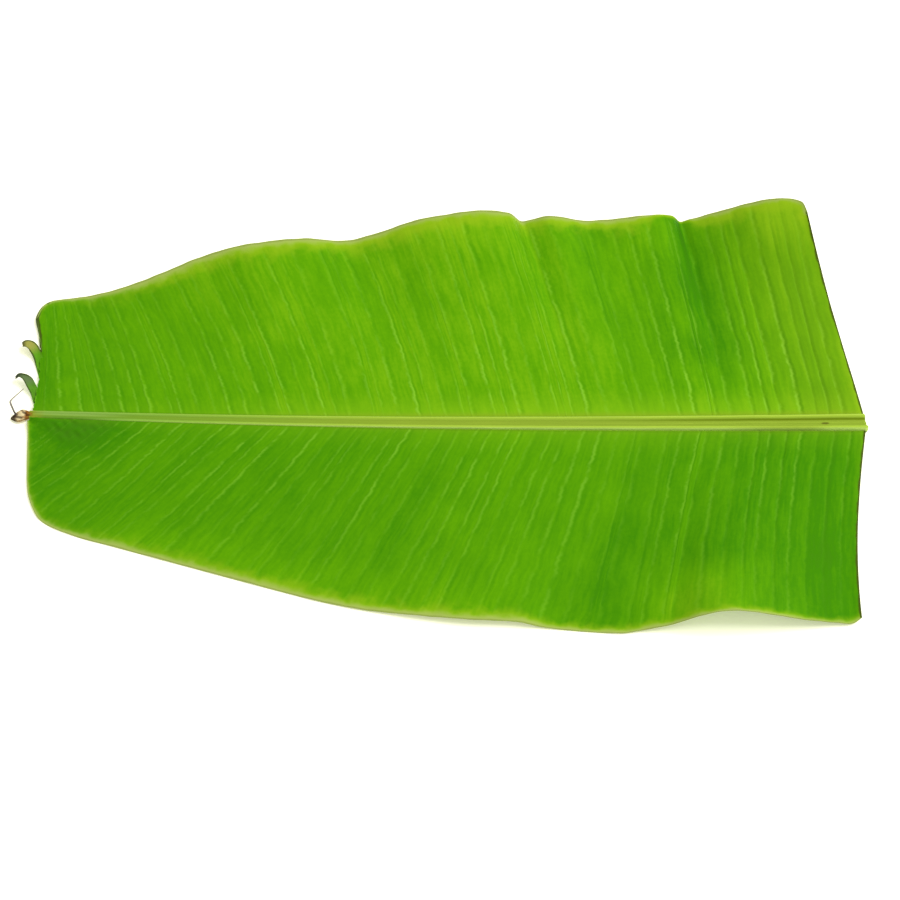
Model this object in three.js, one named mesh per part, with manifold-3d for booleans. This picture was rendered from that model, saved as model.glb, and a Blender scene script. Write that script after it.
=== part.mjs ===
// Banana leaf: the tip end of a leaf, cut across along its veins and laid with its upper face up.
// X runs along the midrib from the tip to the cut end, Y across the blade and Z up from the table.

import * as THREE from "three";
import { mergeVertices } from "three/addons/utils/BufferGeometryUtils.js";
import Module from "manifold-3d";

// Driving dimensions, in millimetres
const LEAF_LENGTH = 688; // of the blade, along the midrib
const MIDRIB_OVERHANG = 1.5; // of the midrib past the blade, at both ends
const TIP_SWAY = 12.4; // sideways bow of the midrib at its tip
const SWAY_POWER = 2.5; // how soon the bow straightens out
const MIDRIB_STATIONS = 46; // steps along the midrib
const BLADE_THICKNESS = 1;
const BLADE_FALL = 0.75; // share of a vein's run on which the blade comes down from the midrib
const LIFT_POWER = 1.8; // how late along its vein a wave of the margin rises
const VEINS_PER_HALF = 52;
const VEIN_RELIEF = 0.6; // height of a raised vein
const VEIN_FADE_POWER = 4; // how late along its run a vein sinks into the margin
const VEIN_STEPS = 9; // steps along a vein
const SEAT_GAP = 0.3; // between the midrib and the pieces that it carries

// Midrib at its tip and at its cut end: half its width, its depth, and the height of its keel off the table
const MIDRIB_TIP = { halfWidth: 3.4, depth: 4.2, keel: 1.2 };
const MIDRIB_CUT = { halfWidth: 7.2, depth: 16.5, keel: 0 };
const KEEL_LIFT_END = 0.5; // share of the length past which the keel lies on the table
const BLADE_SEAT = 0.7; // height of the blade's root on the midrib, as a share of its depth

// Right side of the midrib's section, in shares of half its width and of its depth: its top, from the
// channel over the shoulder to the blade's seat, and its underside, from there to the flat of the keel
const MIDRIB_TOP = [
  [0.22, 0.8],
  [0.45, 0.86],
  [0.68, 1],
  [0.9, 0.97],
  [1, 0.86],
];
const MIDRIB_UNDERSIDE = [
  [1, 0.64],
  [0.82, 0.32],
  [0.55, 0.08],
  [0.3, 0],
  [0.1, 0],
];

// Guide veins of each half: x of the root on the midrib, x and y at the margin,
// height of the margin off the table, and bow of the vein towards the cut end at its middle
const RIGHT_VEINS = [
  [1, -5.9, 107, 2, 4],
  [5, -4.4, 115, 2, 3],
  [10, -0.5, 121, 2, 2],
  [20, 4.5, 125, 1, 0],
  [40, 12.5, 127, 0, 1],
  [64, 24, 129, 0, 2],
  [100, 52, 134, 2, 3],
  [141, 85, 144, 6, 4],
  [195, 131, 160, 16, 5],
  [235, 171, 168, 24, 5],
  [277, 221, 178, 19, 5],
  [310, 254, 183, 8, 5],
  [339, 283, 188, 12, 4],
  [372, 319, 194, 24, 4],
  [419, 368, 199, 30, 4],
  [445, 397, 201, 25, 3],
  [458, 410, 202, 12, 3],
  [480, 435, 203, 17, 3],
  [512, 470, 205, 7, 2],
  [553, 520, 206, 14, 2],
  [569, 541, 208, 11, 2],
  [578, 551, 209, 2, 2],
  [607, 579, 209, 14, 2],
  [644, 613, 208, 32, 2],
  [670, 639, 205.5, 39.5, 2],
  [680, 648, 202.5, 40, 2],
  [685, 651.5, 199, 40, 2],
  [688, 654, 192, 38.5, 2],
];
const LEFT_VEINS = [
  [0, -2.6, 6.5, 3, 0],
  [16, -1.2, -6, 2, 0],
  [40, 0.6, -27, 1, 0],
  [66, 2.8, -48, 1, 0],
  [90, 7, -66, 1, 0],
  [106, 17, -83, 0, 0],
  [136, 43, -96, 0, 0],
  [184, 80, -107, 0, 0],
  [256, 163, -131, 0, 0],
  [297, 212, -145, 0, 0],
  [331, 249, -155, 0, 0],
  [368, 289, -163, 2, 0],
  [425, 357, -172, 8, 0],
  [458, 398, -174, 7, 0],
  [479, 425, -177, 1, 0],
  [521, 478, -181, 0.5, 0],
  [538, 495, -179.5, 3, -1],
  [559, 519, -177.5, 10, -1],
  [575, 539.5, -176, 24, -2],
  [588, 555.5, -175, 30, -2],
  [601, 570.5, -174.7, 31, -3],
  [624, 596, -175, 23.5, -3],
  [648, 622, -175, 13.5, -4],
  [672, 648.5, -174, 5.5, -4],
  [683, 661.5, -173.3, 2, -4],
  [688, 668.5, -169, 3, -4],
];

// Torn lobes at the tip of the right half: x, y, z on the middle of the strip, its width and its thickness
const TORN_LOBES = [
  [
    [6, 38, 3.4, 3, 2],
    [3.5, 48, 3, 5.5, 2],
    [0, 62, 3.3, 7, 1.6],
    [-2.3, 70.5, 4.5, 7, 1.3],
    [-4.8, 75.5, 6, 7, 1.1],
    [-8, 78.4, 7.5, 6.5, 1],
    [-11.2, 79.2, 8, 5.2, 1],
    [-14, 78.4, 7.5, 1.4, 0.9],
  ],
  [
    [7, 17.5, 4.2, 3, 2],
    [3.2, 25, 4.2, 7, 2],
    [0.2, 33, 5, 7, 1.6],
    [-1.8, 37.5, 6, 6.5, 1.3],
    [-5, 43.2, 7.5, 5, 1.1],
    [-8.8, 46.5, 8.5, 3.8, 1],
    [-13, 47.4, 8.8, 3.4, 1],
    [-16, 46, 8, 2, 0.9],
  ],
];
const LOBE_CROWN = 0.08; // rise of a strip's middle over its edges, as a share of its width

// Withered tip: x, y, z of the middle of each ring, and half its width and height
const DRY_TIP_RINGS = [
  [-1.8, 12.3, 3.4, 3, 1.9],
  [-4.5, 12, 3.6, 4.6, 2.6],
  [-8, 11.6, 3.6, 5.3, 3],
  [-11.5, 11, 3.1, 4.8, 2.6],
  [-14.5, 10.4, 2.5, 2.7, 1.8],
  [-17, 10, 2, 0.9, 0.8],
];
const DRY_TIP_SIDES = 12;
const DRY_TIP_WRINKLES = 4; // around a ring
const DRY_TIP_WRINKLE_DEPTH = 0.16; // as a share of the ring's size
const THREAD_PATH = [
  [-11, 11.5, 3.6],
  [-13.4, 13.4, 4.8],
  [-15.4, 17, 6],
  [-17.4, 20.8, 7],
  [-18, 23, 7.4],
  [-16.6, 25.2, 7.6],
  [-13.4, 28.8, 7.8],
  [-8, 35, 7.8],
];
const THREAD_RADIUS = 0.4;
const THREAD_SIDES = 6;
const THREAD_STEPS = 16;

const COLOURS = {
  blade: { color: 0x6aa80e, roughness: 0.45, metalness: 0 },
  midrib: { color: 0xb4d050, roughness: 0.5, metalness: 0 },
  withered: { color: 0x9a6a34, roughness: 0.85, metalness: 0 },
};

const wasm = await Module();
wasm.setup();

const { lerp, smoothstep } = THREE.MathUtils;
const UP = new THREE.Vector3(0, 0, 1);

/** Smooth values at x through rows of [x, values...], by cubic Hermite steps. */
function through(rows, x) {
  let i = 0;
  while (i < rows.length - 2 && x > rows[i + 1][0]) i += 1;
  const slope = (k, column) => {
    const before = rows[Math.max(k - 1, 0)];
    const after = rows[Math.min(k + 1, rows.length - 1)];
    return (after[column] - before[column]) / (after[0] - before[0]);
  };
  const span = rows[i + 1][0] - rows[i][0];
  const s = (x - rows[i][0]) / span;
  const rise = s * s * (3 - 2 * s);
  const leave = s * (1 - s) * (1 - s) * span;
  const arrive = s * s * (s - 1) * span;
  return rows[i].slice(1).map((value, k) => {
    const column = k + 1;
    const step = rows[i + 1][column] - value;
    return value + step * rise + slope(i, column) * leave + slope(i + 1, column) * arrive;
  });
}

/** Sizes and place of the midrib at x. */
function midribAt(x) {
  const along = THREE.MathUtils.clamp(x / LEAF_LENGTH, 0, 1);
  return {
    y: TIP_SWAY * (1 - along) ** SWAY_POWER,
    halfWidth: lerp(MIDRIB_TIP.halfWidth, MIDRIB_CUT.halfWidth, along),
    depth: lerp(MIDRIB_TIP.depth, MIDRIB_CUT.depth, along),
    keel: lerp(MIDRIB_TIP.keel, MIDRIB_CUT.keel, smoothstep(along, 0, KEEL_LIFT_END)),
  };
}

/**
 * Closed skin over a row of rings. Ring point k faces point (2n - 1 - k), so a ladder closes each end,
 * and both sides of a ring are split into triangles alike.
 */
function loft(rings) {
  const size = rings[0].length;
  const index = [];
  const quad = (a, b, c, d, flip) => {
    if (flip) index.push(a, b, d, b, c, d);
    else index.push(a, b, c, a, c, d);
  };
  for (let i = 0; i + 1 < rings.length; i += 1) {
    for (let k = 0; k < size; k += 1) {
      const next = (k + 1) % size;
      const [here, ahead] = [i * size, (i + 1) * size];
      quad(here + k, ahead + k, ahead + next, here + next, k >= size / 2);
    }
  }
  const last = (rings.length - 1) * size;
  for (let k = 0; k + 1 < size / 2; k += 1) {
    const facing = size - 1 - k;
    quad(k, k + 1, facing - 1, facing, false);
    quad(last + facing, last + facing - 1, last + k + 1, last + k, false);
  }
  const geometry = new THREE.BufferGeometry().setFromPoints(rings.flat());
  return geometry.setIndex(index);
}

function midribGeometry() {
  const rings = [];
  for (let i = 0; i <= MIDRIB_STATIONS; i += 1) {
    const x = lerp(-MIDRIB_OVERHANG, LEAF_LENGTH + MIDRIB_OVERHANG, i / MIDRIB_STATIONS);
    const rib = midribAt(x);
    const place = (side) => ([out, up]) =>
      new THREE.Vector3(x, rib.y + side * out * rib.halfWidth, rib.keel + up * rib.depth);
    const top = [...MIDRIB_TOP.map(place(-1)).reverse(), ...MIDRIB_TOP.map(place(1))];
    const under = [...MIDRIB_UNDERSIDE.map(place(1)), ...MIDRIB_UNDERSIDE.map(place(-1)).reverse()];
    rings.push([...top, ...under]);
  }
  return loft(rings);
}

/**
 * Point on the underside of a half blade, on the vein that leaves the midrib at x = root.
 * The side is +1 or -1 in Y, and along runs from 0 at the midrib to 1 at the margin.
 */
function bladePoint(veins, side, root, along) {
  const [marginX, marginY, lift, bow] = through(veins, root);
  const rib = midribAt(root);
  const rootY = rib.y + side * (rib.halfWidth + SEAT_GAP);
  const seatZ = rib.keel + BLADE_SEAT * rib.depth;
  const fall = 1 - smoothstep(along, 0, BLADE_FALL);
  const arch = 4 * along * (1 - along);
  return new THREE.Vector3(
    lerp(root, marginX, along) + bow * arch,
    lerp(rootY, marginY, along),
    seatZ * fall + Math.max(lift, 0) * along ** LIFT_POWER,
  );
}

function bladeGeometry(veins, side) {
  const columns = 2 * VEINS_PER_HALF;
  const rings = [];
  for (let i = 0; i <= columns; i += 1) {
    const root = lerp(veins[0][0], veins.at(-1)[0], i / columns);
    const relief = i % 2 === 1 ? VEIN_RELIEF : 0;
    const under = [];
    for (let j = 0; j <= VEIN_STEPS; j += 1) {
      const along = j / VEIN_STEPS;
      const raised = relief * (1 - along ** VEIN_FADE_POWER);
      under.push(bladePoint(veins, side, root, along).addScaledVector(UP, raised));
    }
    const top = under.map((point) => point.clone().addScaledVector(UP, BLADE_THICKNESS));
    rings.push([...top, ...under.reverse()]);
  }
  return loft(side > 0 ? rings : rings.reverse());
}

/** Torn strip of blade along a list of [x, y, z, width, thickness], crowned along its middle. */
function lobeGeometry(lobe) {
  const path = new THREE.CatmullRomCurve3(lobe.map(([x, y, z]) => new THREE.Vector3(x, y, z)));
  const rings = lobe.map(([, , , width, thickness], i) => {
    const share = i / (lobe.length - 1);
    const across = UP.clone().cross(path.getTangent(share)).normalize();
    const centre = path.getPoint(share);
    const edge = (out, up) => centre.clone().addScaledVector(across, out * width).addScaledVector(UP, up);
    const half = thickness / 2;
    const crown = half + LOBE_CROWN * width;
    return [
      edge(-0.5, half),
      edge(0, crown),
      edge(0.5, half),
      edge(0.5, -half),
      edge(0, crown - thickness),
      edge(-0.5, -half),
    ];
  });
  return loft(rings);
}

function tornBladeGeometry() {
  return fuse(bladeGeometry(RIGHT_VEINS, 1), ...TORN_LOBES.map(lobeGeometry));
}

function witheredTipGeometry() {
  return fuse(dryTipGeometry(), threadGeometry());
}

function dryTipGeometry() {
  const rings = DRY_TIP_RINGS.map(([x, y, z, halfWidth, halfHeight], i) => {
    const ring = [];
    for (let k = 0; k < DRY_TIP_SIDES; k += 1) {
      const angle = ((k + 0.5) * 2 * Math.PI) / DRY_TIP_SIDES;
      const folded = Math.min(angle, 2 * Math.PI - angle);
      const size = 1 + DRY_TIP_WRINKLE_DEPTH * Math.cos(DRY_TIP_WRINKLES * folded + i);
      const out = halfWidth * size * Math.sin(angle);
      const up = halfHeight * size * Math.cos(angle);
      ring.push(new THREE.Vector3(x, y - out, z + up));
    }
    return ring;
  });
  return loft(rings);
}

function threadGeometry() {
  const outline = [];
  for (let k = 0; k < THREAD_SIDES; k += 1) {
    const angle = (k * 2 * Math.PI) / THREAD_SIDES;
    outline.push(new THREE.Vector2(THREAD_RADIUS * Math.cos(angle), THREAD_RADIUS * Math.sin(angle)));
  }
  const path = new THREE.CatmullRomCurve3(THREAD_PATH.map((point) => new THREE.Vector3(...point)));
  const options = { steps: THREAD_STEPS, extrudePath: path, bevelEnabled: false };
  return new THREE.ExtrudeGeometry(new THREE.Shape(outline), options);
}

/** One solid from closed geometries that run into each other. */
function fuse(...geometries) {
  const solids = geometries.map((geometry) => {
    geometry.deleteAttribute("normal");
    geometry.deleteAttribute("uv");
    const merged = mergeVertices(geometry);
    const vertProperties = new Float32Array(merged.attributes.position.array);
    const triVerts = new Uint32Array(merged.index.array);
    return new wasm.Manifold(new wasm.Mesh({ numProp: 3, vertProperties, triVerts }));
  });
  const mesh = solids.reduce((whole, solid) => whole.add(solid)).getMesh();
  const geometry = new THREE.BufferGeometry();
  geometry.setAttribute("position", new THREE.BufferAttribute(mesh.vertProperties, 3));
  return geometry.setIndex(new THREE.BufferAttribute(mesh.triVerts, 1));
}

function piece(name, geometry, finish) {
  geometry.computeVertexNormals();
  const mesh = new THREE.Mesh(geometry, new THREE.MeshStandardMaterial(finish));
  mesh.name = name;
  return mesh;
}

const leaf = new THREE.Group();
leaf.add(
  piece("midrib", midribGeometry(), COLOURS.midrib),
  piece("blade_right", tornBladeGeometry(), COLOURS.blade),
  piece("blade_left", bladeGeometry(LEFT_VEINS, -1), COLOURS.blade),
  piece("dry_tip", witheredTipGeometry(), COLOURS.withered),
);

// The origin is under the middle of the leaf's box, on the table
const box = new THREE.Box3().setFromObject(leaf);
const middle = box.getCenter(new THREE.Vector3());
leaf.position.set(-middle.x, -middle.y, -box.min.z);

const bananaLeaf = new THREE.Group();
bananaLeaf.add(leaf);

export default bananaLeaf;
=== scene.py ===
"""Dresses the tip end of a banana leaf, cut across and laid on a table with its upper face up.

The leaf's own axes are in millimetres: x runs along the midrib from the blade's tip to its cut end,
y across the blade, and z up from the table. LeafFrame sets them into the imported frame, in metres.
"""

import logging
import math
from dataclasses import dataclass, field
from enum import Enum
from functools import cached_property, partial, reduce
from typing import Sequence, Union

import bpy
import numpy as np
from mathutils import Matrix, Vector
from mathutils.kdtree import KDTree


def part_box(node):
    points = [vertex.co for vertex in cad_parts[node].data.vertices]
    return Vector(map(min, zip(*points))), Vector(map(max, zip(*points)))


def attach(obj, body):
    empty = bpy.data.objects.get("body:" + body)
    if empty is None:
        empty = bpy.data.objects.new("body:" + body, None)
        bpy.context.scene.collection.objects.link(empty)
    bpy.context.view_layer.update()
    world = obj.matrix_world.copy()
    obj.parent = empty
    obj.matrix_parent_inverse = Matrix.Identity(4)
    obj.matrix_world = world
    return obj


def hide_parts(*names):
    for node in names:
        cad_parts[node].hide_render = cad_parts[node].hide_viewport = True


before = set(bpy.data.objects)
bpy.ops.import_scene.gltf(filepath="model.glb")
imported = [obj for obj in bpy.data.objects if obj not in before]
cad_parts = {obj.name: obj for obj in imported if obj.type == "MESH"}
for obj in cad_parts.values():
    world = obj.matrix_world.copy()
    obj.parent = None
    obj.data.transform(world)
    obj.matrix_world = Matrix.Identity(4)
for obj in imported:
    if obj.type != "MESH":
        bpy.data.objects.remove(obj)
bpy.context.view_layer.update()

LOG = logging.getLogger("banana_leaf")
MM = 0.001
BODY = "root"
BAKE_MAP = "OFBake"

Socket = bpy.types.NodeSocket
Value = Union[bpy.types.NodeSocket, float, tuple, str]
Pair = tuple[float, float]
Rows = tuple[tuple[float, ...], ...]

# Angle between faces past which their edge is sharp
SHARP_ANGLE = math.radians(55)
# Part of its whole range in which a noise nearly always lies
NOISE_RANGE: Pair = (0.25, 0.75)

# Guide veins of each half: x of the root on the midrib, x and y at the margin,
# height of the margin off the table, and bow of the vein towards the cut end at its middle
RIGHT_GUIDES: Rows = (
    (1, -5.9, 107, 2, 4),
    (5, -4.4, 115, 2, 3),
    (10, -0.5, 121, 2, 2),
    (20, 4.5, 125, 1, 0),
    (40, 12.5, 127, 0, 1),
    (64, 24, 129, 0, 2),
    (100, 52, 134, 2, 3),
    (141, 85, 144, 6, 4),
    (195, 131, 160, 16, 5),
    (235, 171, 168, 24, 5),
    (277, 221, 178, 19, 5),
    (310, 254, 183, 8, 5),
    (339, 283, 188, 12, 4),
    (372, 319, 194, 24, 4),
    (419, 368, 199, 30, 4),
    (445, 397, 201, 25, 3),
    (458, 410, 202, 12, 3),
    (480, 435, 203, 17, 3),
    (512, 470, 205, 7, 2),
    (553, 520, 206, 14, 2),
    (569, 541, 208, 11, 2),
    (578, 551, 209, 2, 2),
    (607, 579, 209, 14, 2),
    (644, 613, 208, 32, 2),
    (670, 639, 205.5, 39.5, 2),
    (680, 648, 202.5, 40, 2),
    (685, 651.5, 199, 40, 2),
    (688, 654, 192, 38.5, 2),
)
LEFT_GUIDES: Rows = (
    (0, -2.6, 6.5, 3, 0),
    (16, -1.2, -6, 2, 0),
    (40, 0.6, -27, 1, 0),
    (66, 2.8, -48, 1, 0),
    (90, 7, -66, 1, 0),
    (106, 17, -83, 0, 0),
    (136, 43, -96, 0, 0),
    (184, 80, -107, 0, 0),
    (256, 163, -131, 0, 0),
    (297, 212, -145, 0, 0),
    (331, 249, -155, 0, 0),
    (368, 289, -163, 2, 0),
    (425, 357, -172, 8, 0),
    (458, 398, -174, 7, 0),
    (479, 425, -177, 1, 0),
    (521, 478, -181, 0.5, 0),
    (538, 495, -179.5, 3, -1),
    (559, 519, -177.5, 10, -1),
    (575, 539.5, -176, 24, -2),
    (588, 555.5, -175, 30, -2),
    (601, 570.5, -174.7, 31, -3),
    (624, 596, -175, 23.5, -3),
    (648, 622, -175, 13.5, -4),
    (672, 648.5, -174, 5.5, -4),
    (683, 661.5, -173.3, 2, -4),
    (688, 668.5, -169, 3, -4),
)

# Torn lobes: share of the strip's run, then x, y, z on its middle line and its width
FIRST_LOBE: Rows = (
    (0.0, 8, 38, 1.4, 3),
    (0.22, 5.5, 48, 1.0, 6),
    (0.5, 1.6, 62, 1.0, 8),
    (0.68, -1.8, 70.5, 2.8, 7.6),
    (0.81, -4.8, 75.2, 5.4, 8.8),
    (0.9, -8, 77.4, 7.2, 9.2),
    (0.96, -11, 77.8, 7.8, 8.4),
    (1.0, -13.6, 77, 7.5, 5.4),
)
SECOND_LOBE: Rows = (
    (0.0, 8, 17.5, 2.2, 3),
    (0.2, 4.4, 25, 2.0, 8),
    (0.4, 1.2, 33, 2.6, 8),
    (0.53, -1.6, 37.5, 4.8, 7.4),
    (0.7, -5, 42.8, 7.2, 7.6),
    (0.82, -8.8, 45.6, 8.4, 6.8),
    (0.92, -12.8, 46.4, 8.8, 5.8),
    (1.0, -15.8, 45, 8, 4.2),
)
# Rolled edge of the tear at the far corner of the tip, in the same terms
ROLLED_EDGE: Rows = (
    (0.0, 1.8, 74, 2, 0.5),
    (0.2, -0.4, 84, 2.2, 0.9),
    (0.42, -3.2, 95, 2.5, 1.3),
    (0.62, -5.4, 104.5, 2.8, 2.2),
    (0.72, -5.2, 109, 2.9, 2.4),
    (0.84, -3.2, 115.6, 2.9, 2),
    (0.93, -0.2, 120.4, 2.8, 1.4),
    (1.0, 3, 123.4, 2.5, 0.6),
)

# Withered tip: share of its run, then x, y, z of its middle and half its width and height
WITHERED_RUN: Rows = (
    (0.0, 1.0, 12.4, 3.4, 2.9, 1.8),
    (0.16, -1.8, 12.3, 3.5, 3.4, 2.1),
    (0.3, -4.5, 12, 3.6, 4.4, 2.6),
    (0.48, -7.6, 11.7, 3.6, 5.2, 3.0),
    (0.64, -10.4, 11.2, 3.2, 5.0, 2.7),
    (0.8, -13, 10.5, 2.7, 3.6, 2.1),
    (0.92, -15.4, 10, 2.3, 2.0, 1.5),
    (1.0, -17, 9.8, 2, 0.8, 0.7),
)
# Fibre that hangs on the withered tip: share of its run, then x, y, z and radius
FIBRE_RUN: Rows = (
    (0.0, -11, 11.5, 3.6, 0.85),
    (0.14, -13.4, 13.4, 4.8, 0.8),
    (0.3, -15.4, 17, 6, 0.78),
    (0.46, -17.2, 20.8, 7, 0.86),
    (0.54, -17.8, 23, 7.4, 0.72),
    (0.62, -16.6, 25.2, 7.6, 0.54),
    (0.77, -13.4, 28.8, 7.8, 0.44),
    (1.0, -8, 35, 7.8, 0.32),
)


class Half(Enum):
    """Half of the blade, valued by its side of the midrib in Y."""

    RIGHT = 1
    LEFT = -1


class Slot(Enum):
    """Material slots of the record."""

    BLADE = "blade"
    MIDRIB = "midrib"
    WITHERED = "withered"


class Face(Enum):
    """Faces of a thin sheet, valued by their place among its materials."""

    UPPER = 0
    UNDER = 1
    RIM = 2


@dataclass(frozen=True)
class Step:
    """Step of a value, from start at low to end at high."""

    low: float
    high: float
    start: float = 0.0
    end: float = 1.0


def smooth(value: np.ndarray, low: float, high: float) -> np.ndarray:
    """Smooth step from 0 at low to 1 at high."""
    share = np.clip((value - low) / (high - low), 0.0, 1.0)
    return share * share * (3.0 - 2.0 * share)


def blend(start: float, end: float, share: np.ndarray) -> np.ndarray:
    """Value on the straight line from start at share 0 to end at share 1."""
    return start + (end - start) * share


def bell(value: np.ndarray, middle: float, width: float) -> np.ndarray:
    """Smooth hump of height 1 at the middle."""
    return np.exp(-(((value - middle) / width) ** 2))


def lengths_along(points: np.ndarray) -> np.ndarray:
    """Length of a line of points up to each of them."""
    return np.concatenate([[0.0], np.cumsum(np.linalg.norm(np.diff(points, axis=0), axis=1))])


def cross_axes(centre: np.ndarray) -> tuple[np.ndarray, np.ndarray]:
    """Axes across a line of points: the level one and the one that rises from it.

    Args:
        centre: Points of the line, in order.

    Returns:
        Unit vectors of the two axes at each point.
    """
    ahead = np.gradient(centre, axis=0)
    ahead /= np.linalg.norm(ahead, axis=1)[:, None]
    level = np.cross(np.array([0.0, 0.0, 1.0]), ahead)
    level /= np.linalg.norm(level, axis=1)[:, None]
    return level, np.cross(ahead, level)


def through(rows: Rows, x: np.ndarray) -> np.ndarray:
    """Smooth values through rows of (x, values...), by cubic Hermite steps.

    Args:
        rows: Knots in rising order of x.
        x: Where the values are wanted.

    Returns:
        One row of values for each x.
    """
    table = np.array(rows, float)
    knots, values = table[:, 0], table[:, 1:]
    order = np.arange(len(knots))
    before, after = np.maximum(order - 1, 0), np.minimum(order + 1, len(knots) - 1)
    slopes = (values[after] - values[before]) / (knots[after] - knots[before])[:, None]
    i = np.clip(np.searchsorted(knots, x) - 1, 0, len(knots) - 2)
    span = (knots[i + 1] - knots[i])[:, None]
    s = (x - knots[i])[:, None] / span
    rise = s * s * (3 - 2 * s)
    leave = s * (1 - s) ** 2 * span
    arrive = s * s * (s - 1) * span
    return values[i] + (values[i + 1] - values[i]) * rise + slopes[i] * leave + slopes[i + 1] * arrive


def ripple(place: np.ndarray, lengths: Sequence[float], draw: np.random.Generator) -> np.ndarray:
    """Sum of waves of several lengths along a line, each with a drawn phase.

    Args:
        place: Distance along the line, in millimetres.
        lengths: Wave lengths, in millimetres.
        draw: Seeded source of the phases.

    Returns:
        Values within -1 and 1.
    """
    phases = draw.uniform(0, 2 * math.pi, len(lengths))
    total = sum(np.sin(2 * math.pi * place / length + phase) for length, phase in zip(lengths, phases))
    return total / len(lengths)


def rumple(x: np.ndarray, y: np.ndarray, lengths: Sequence[float], draw: np.random.Generator) -> np.ndarray:
    """Sum of plane waves over a surface, each with a drawn direction and phase.

    Args:
        x: Places along the leaf, in millimetres.
        y: Places across it.
        lengths: Wave lengths, in millimetres.
        draw: Seeded source of directions and phases.

    Returns:
        Values within -1 and 1, shaped as x.
    """
    total = np.zeros_like(x)
    for length in lengths:
        turn, phase = draw.uniform(0, 2 * math.pi, 2)
        total += np.sin(2 * math.pi * (x * math.cos(turn) + y * math.sin(turn)) / length + phase)
    return total / len(lengths)


def distance_to_line(points: np.ndarray, line: np.ndarray, step: float = 0.3) -> np.ndarray:
    """Distance of each point to a line of points, which is first cut into short steps.

    Args:
        points: Points, one to a row.
        line: Points of the line, in order.
        step: Longest step left on the line, in millimetres.

    Returns:
        One distance for each point.
    """
    run = lengths_along(line)
    stops = np.linspace(0.0, run[-1], int(run[-1] / step) + 2)
    dense = np.stack([np.interp(stops, run, line[:, k]) for k in range(3)], axis=1)
    tree = KDTree(len(dense))
    for k, point in enumerate(dense):
        tree.insert(point, k)
    tree.balance()
    return np.array([tree.find(point)[2] for point in points])


def srgb(code: str) -> tuple[float, float, float, float]:
    """Turns an sRGB code into a linear colour.

    Args:
        code: Code such as #6aa80e.

    Returns:
        Red, green, blue and the 1 of an opaque colour.
    """
    values = [int(code[k:k + 2], 16) / 255 for k in (1, 3, 5)]
    linear = [v / 12.92 if v <= 0.04045 else ((v + 0.055) / 1.055) ** 2.4 for v in values]
    return (*linear, 1.0)


class Graph:
    """Short calls that place and wire the nodes of one node tree."""

    def __init__(self, tree: bpy.types.NodeTree) -> None:
        """Takes a node tree and empties it."""
        self.tree = tree
        tree.nodes.clear()

    def feed(self, socket: Socket, value: Value) -> None:
        """Links a socket into an input, or sets the input's own value.

        Args:
            socket: The input.
            value: Socket, number or colour, where a code stands for a colour.
        """
        if isinstance(value, bpy.types.NodeSocket):
            self.tree.links.new(value, socket)
        else:
            socket.default_value = srgb(value) if isinstance(value, str) else value

    def node(self, kind: str, inputs: dict | None = None, **settings: object) -> bpy.types.Node:
        """Places a node.

        Args:
            kind: Blender's name of the node's type.
            inputs: Values or sockets for its inputs, by name or place.
            settings: Properties of the node.

        Returns:
            The node.
        """
        node = self.tree.nodes.new(kind)
        for name, value in settings.items():
            setattr(node, name, value)
        for key, value in (inputs or {}).items():
            self.feed(node.inputs[key], value)
        return node

    def calc(self, operation: str, first: Value, second: Value = 0.0) -> Socket:
        """Result of a Math node."""
        return self.node("ShaderNodeMath", {0: first, 1: second}, operation=operation).outputs[0]

    def times(self, *values: Value) -> Value:
        """Product of values."""
        return reduce(partial(self.calc, "MULTIPLY"), values)

    def plus(self, *values: Value) -> Value:
        """Sum of values."""
        return reduce(partial(self.calc, "ADD"), values)

    def ramp(self, value: Value, low: Value, high: Value, start: Value = 0.0, end: Value = 1.0,
             form: str = "SMOOTHSTEP") -> Socket:
        """Step of a value from start at low to end at high, smooth unless another form is named."""
        inputs = {"Value": value, "From Min": low, "From Max": high, "To Min": start, "To Max": end}
        return self.node("ShaderNodeMapRange", inputs, interpolation_type=form).outputs["Result"]

    def step(self, value: Value, step: Step) -> Socket:
        """Smooth step of a value."""
        return self.ramp(value, step.low, step.high, step.start, step.end)

    def mix(self, factor: Value, first: Value, second: Value) -> Socket:
        """Colour between two colours."""
        return self.node("ShaderNodeMix", {0: factor, 6: first, 7: second}, data_type="RGBA").outputs[2]

    def stretch(self, first: Value, second: Value, pitches: tuple[Value, Value]) -> Socket:
        """Place from two values, each times its own pitch."""
        x, y = (self.times(value, pitch) for value, pitch in zip((first, second), pitches))
        return self.node("ShaderNodeCombineXYZ", {0: x, 1: y}).outputs[0]

    def noise(self, vector: Value, scale: Value = 1.0, detail: float = 3.0) -> Socket:
        """Noise value from 0 to 1 at a place."""
        inputs = {"Vector": vector, "Scale": scale, "Detail": detail}
        return self.node("ShaderNodeTexNoise", inputs).outputs[0]

    def drawn(self, value: Value) -> Socket:
        """Value from 0 to 1 that is drawn anew for each other value."""
        return self.node("ShaderNodeTexWhiteNoise", {"W": value}, noise_dimensions="1D").outputs["Value"]

    def object_place(self) -> Socket:
        """Place on the piece, in metres."""
        return self.node("ShaderNodeTexCoord").outputs["Object"]

    def mark(self, name: str) -> Sequence[Socket]:
        """The three values of a mark that the mesh carries at its points."""
        place = self.node("ShaderNodeAttribute", attribute_name=name).outputs["Vector"]
        return self.node("ShaderNodeSeparateXYZ", {0: place}).outputs

    def use(self, group: bpy.types.NodeTree, **inputs: Value) -> bpy.types.bpy_prop_collection:
        """Places a node group with its own values, and gives its outputs."""
        return self.node("ShaderNodeGroup", inputs, node_tree=group).outputs


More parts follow.
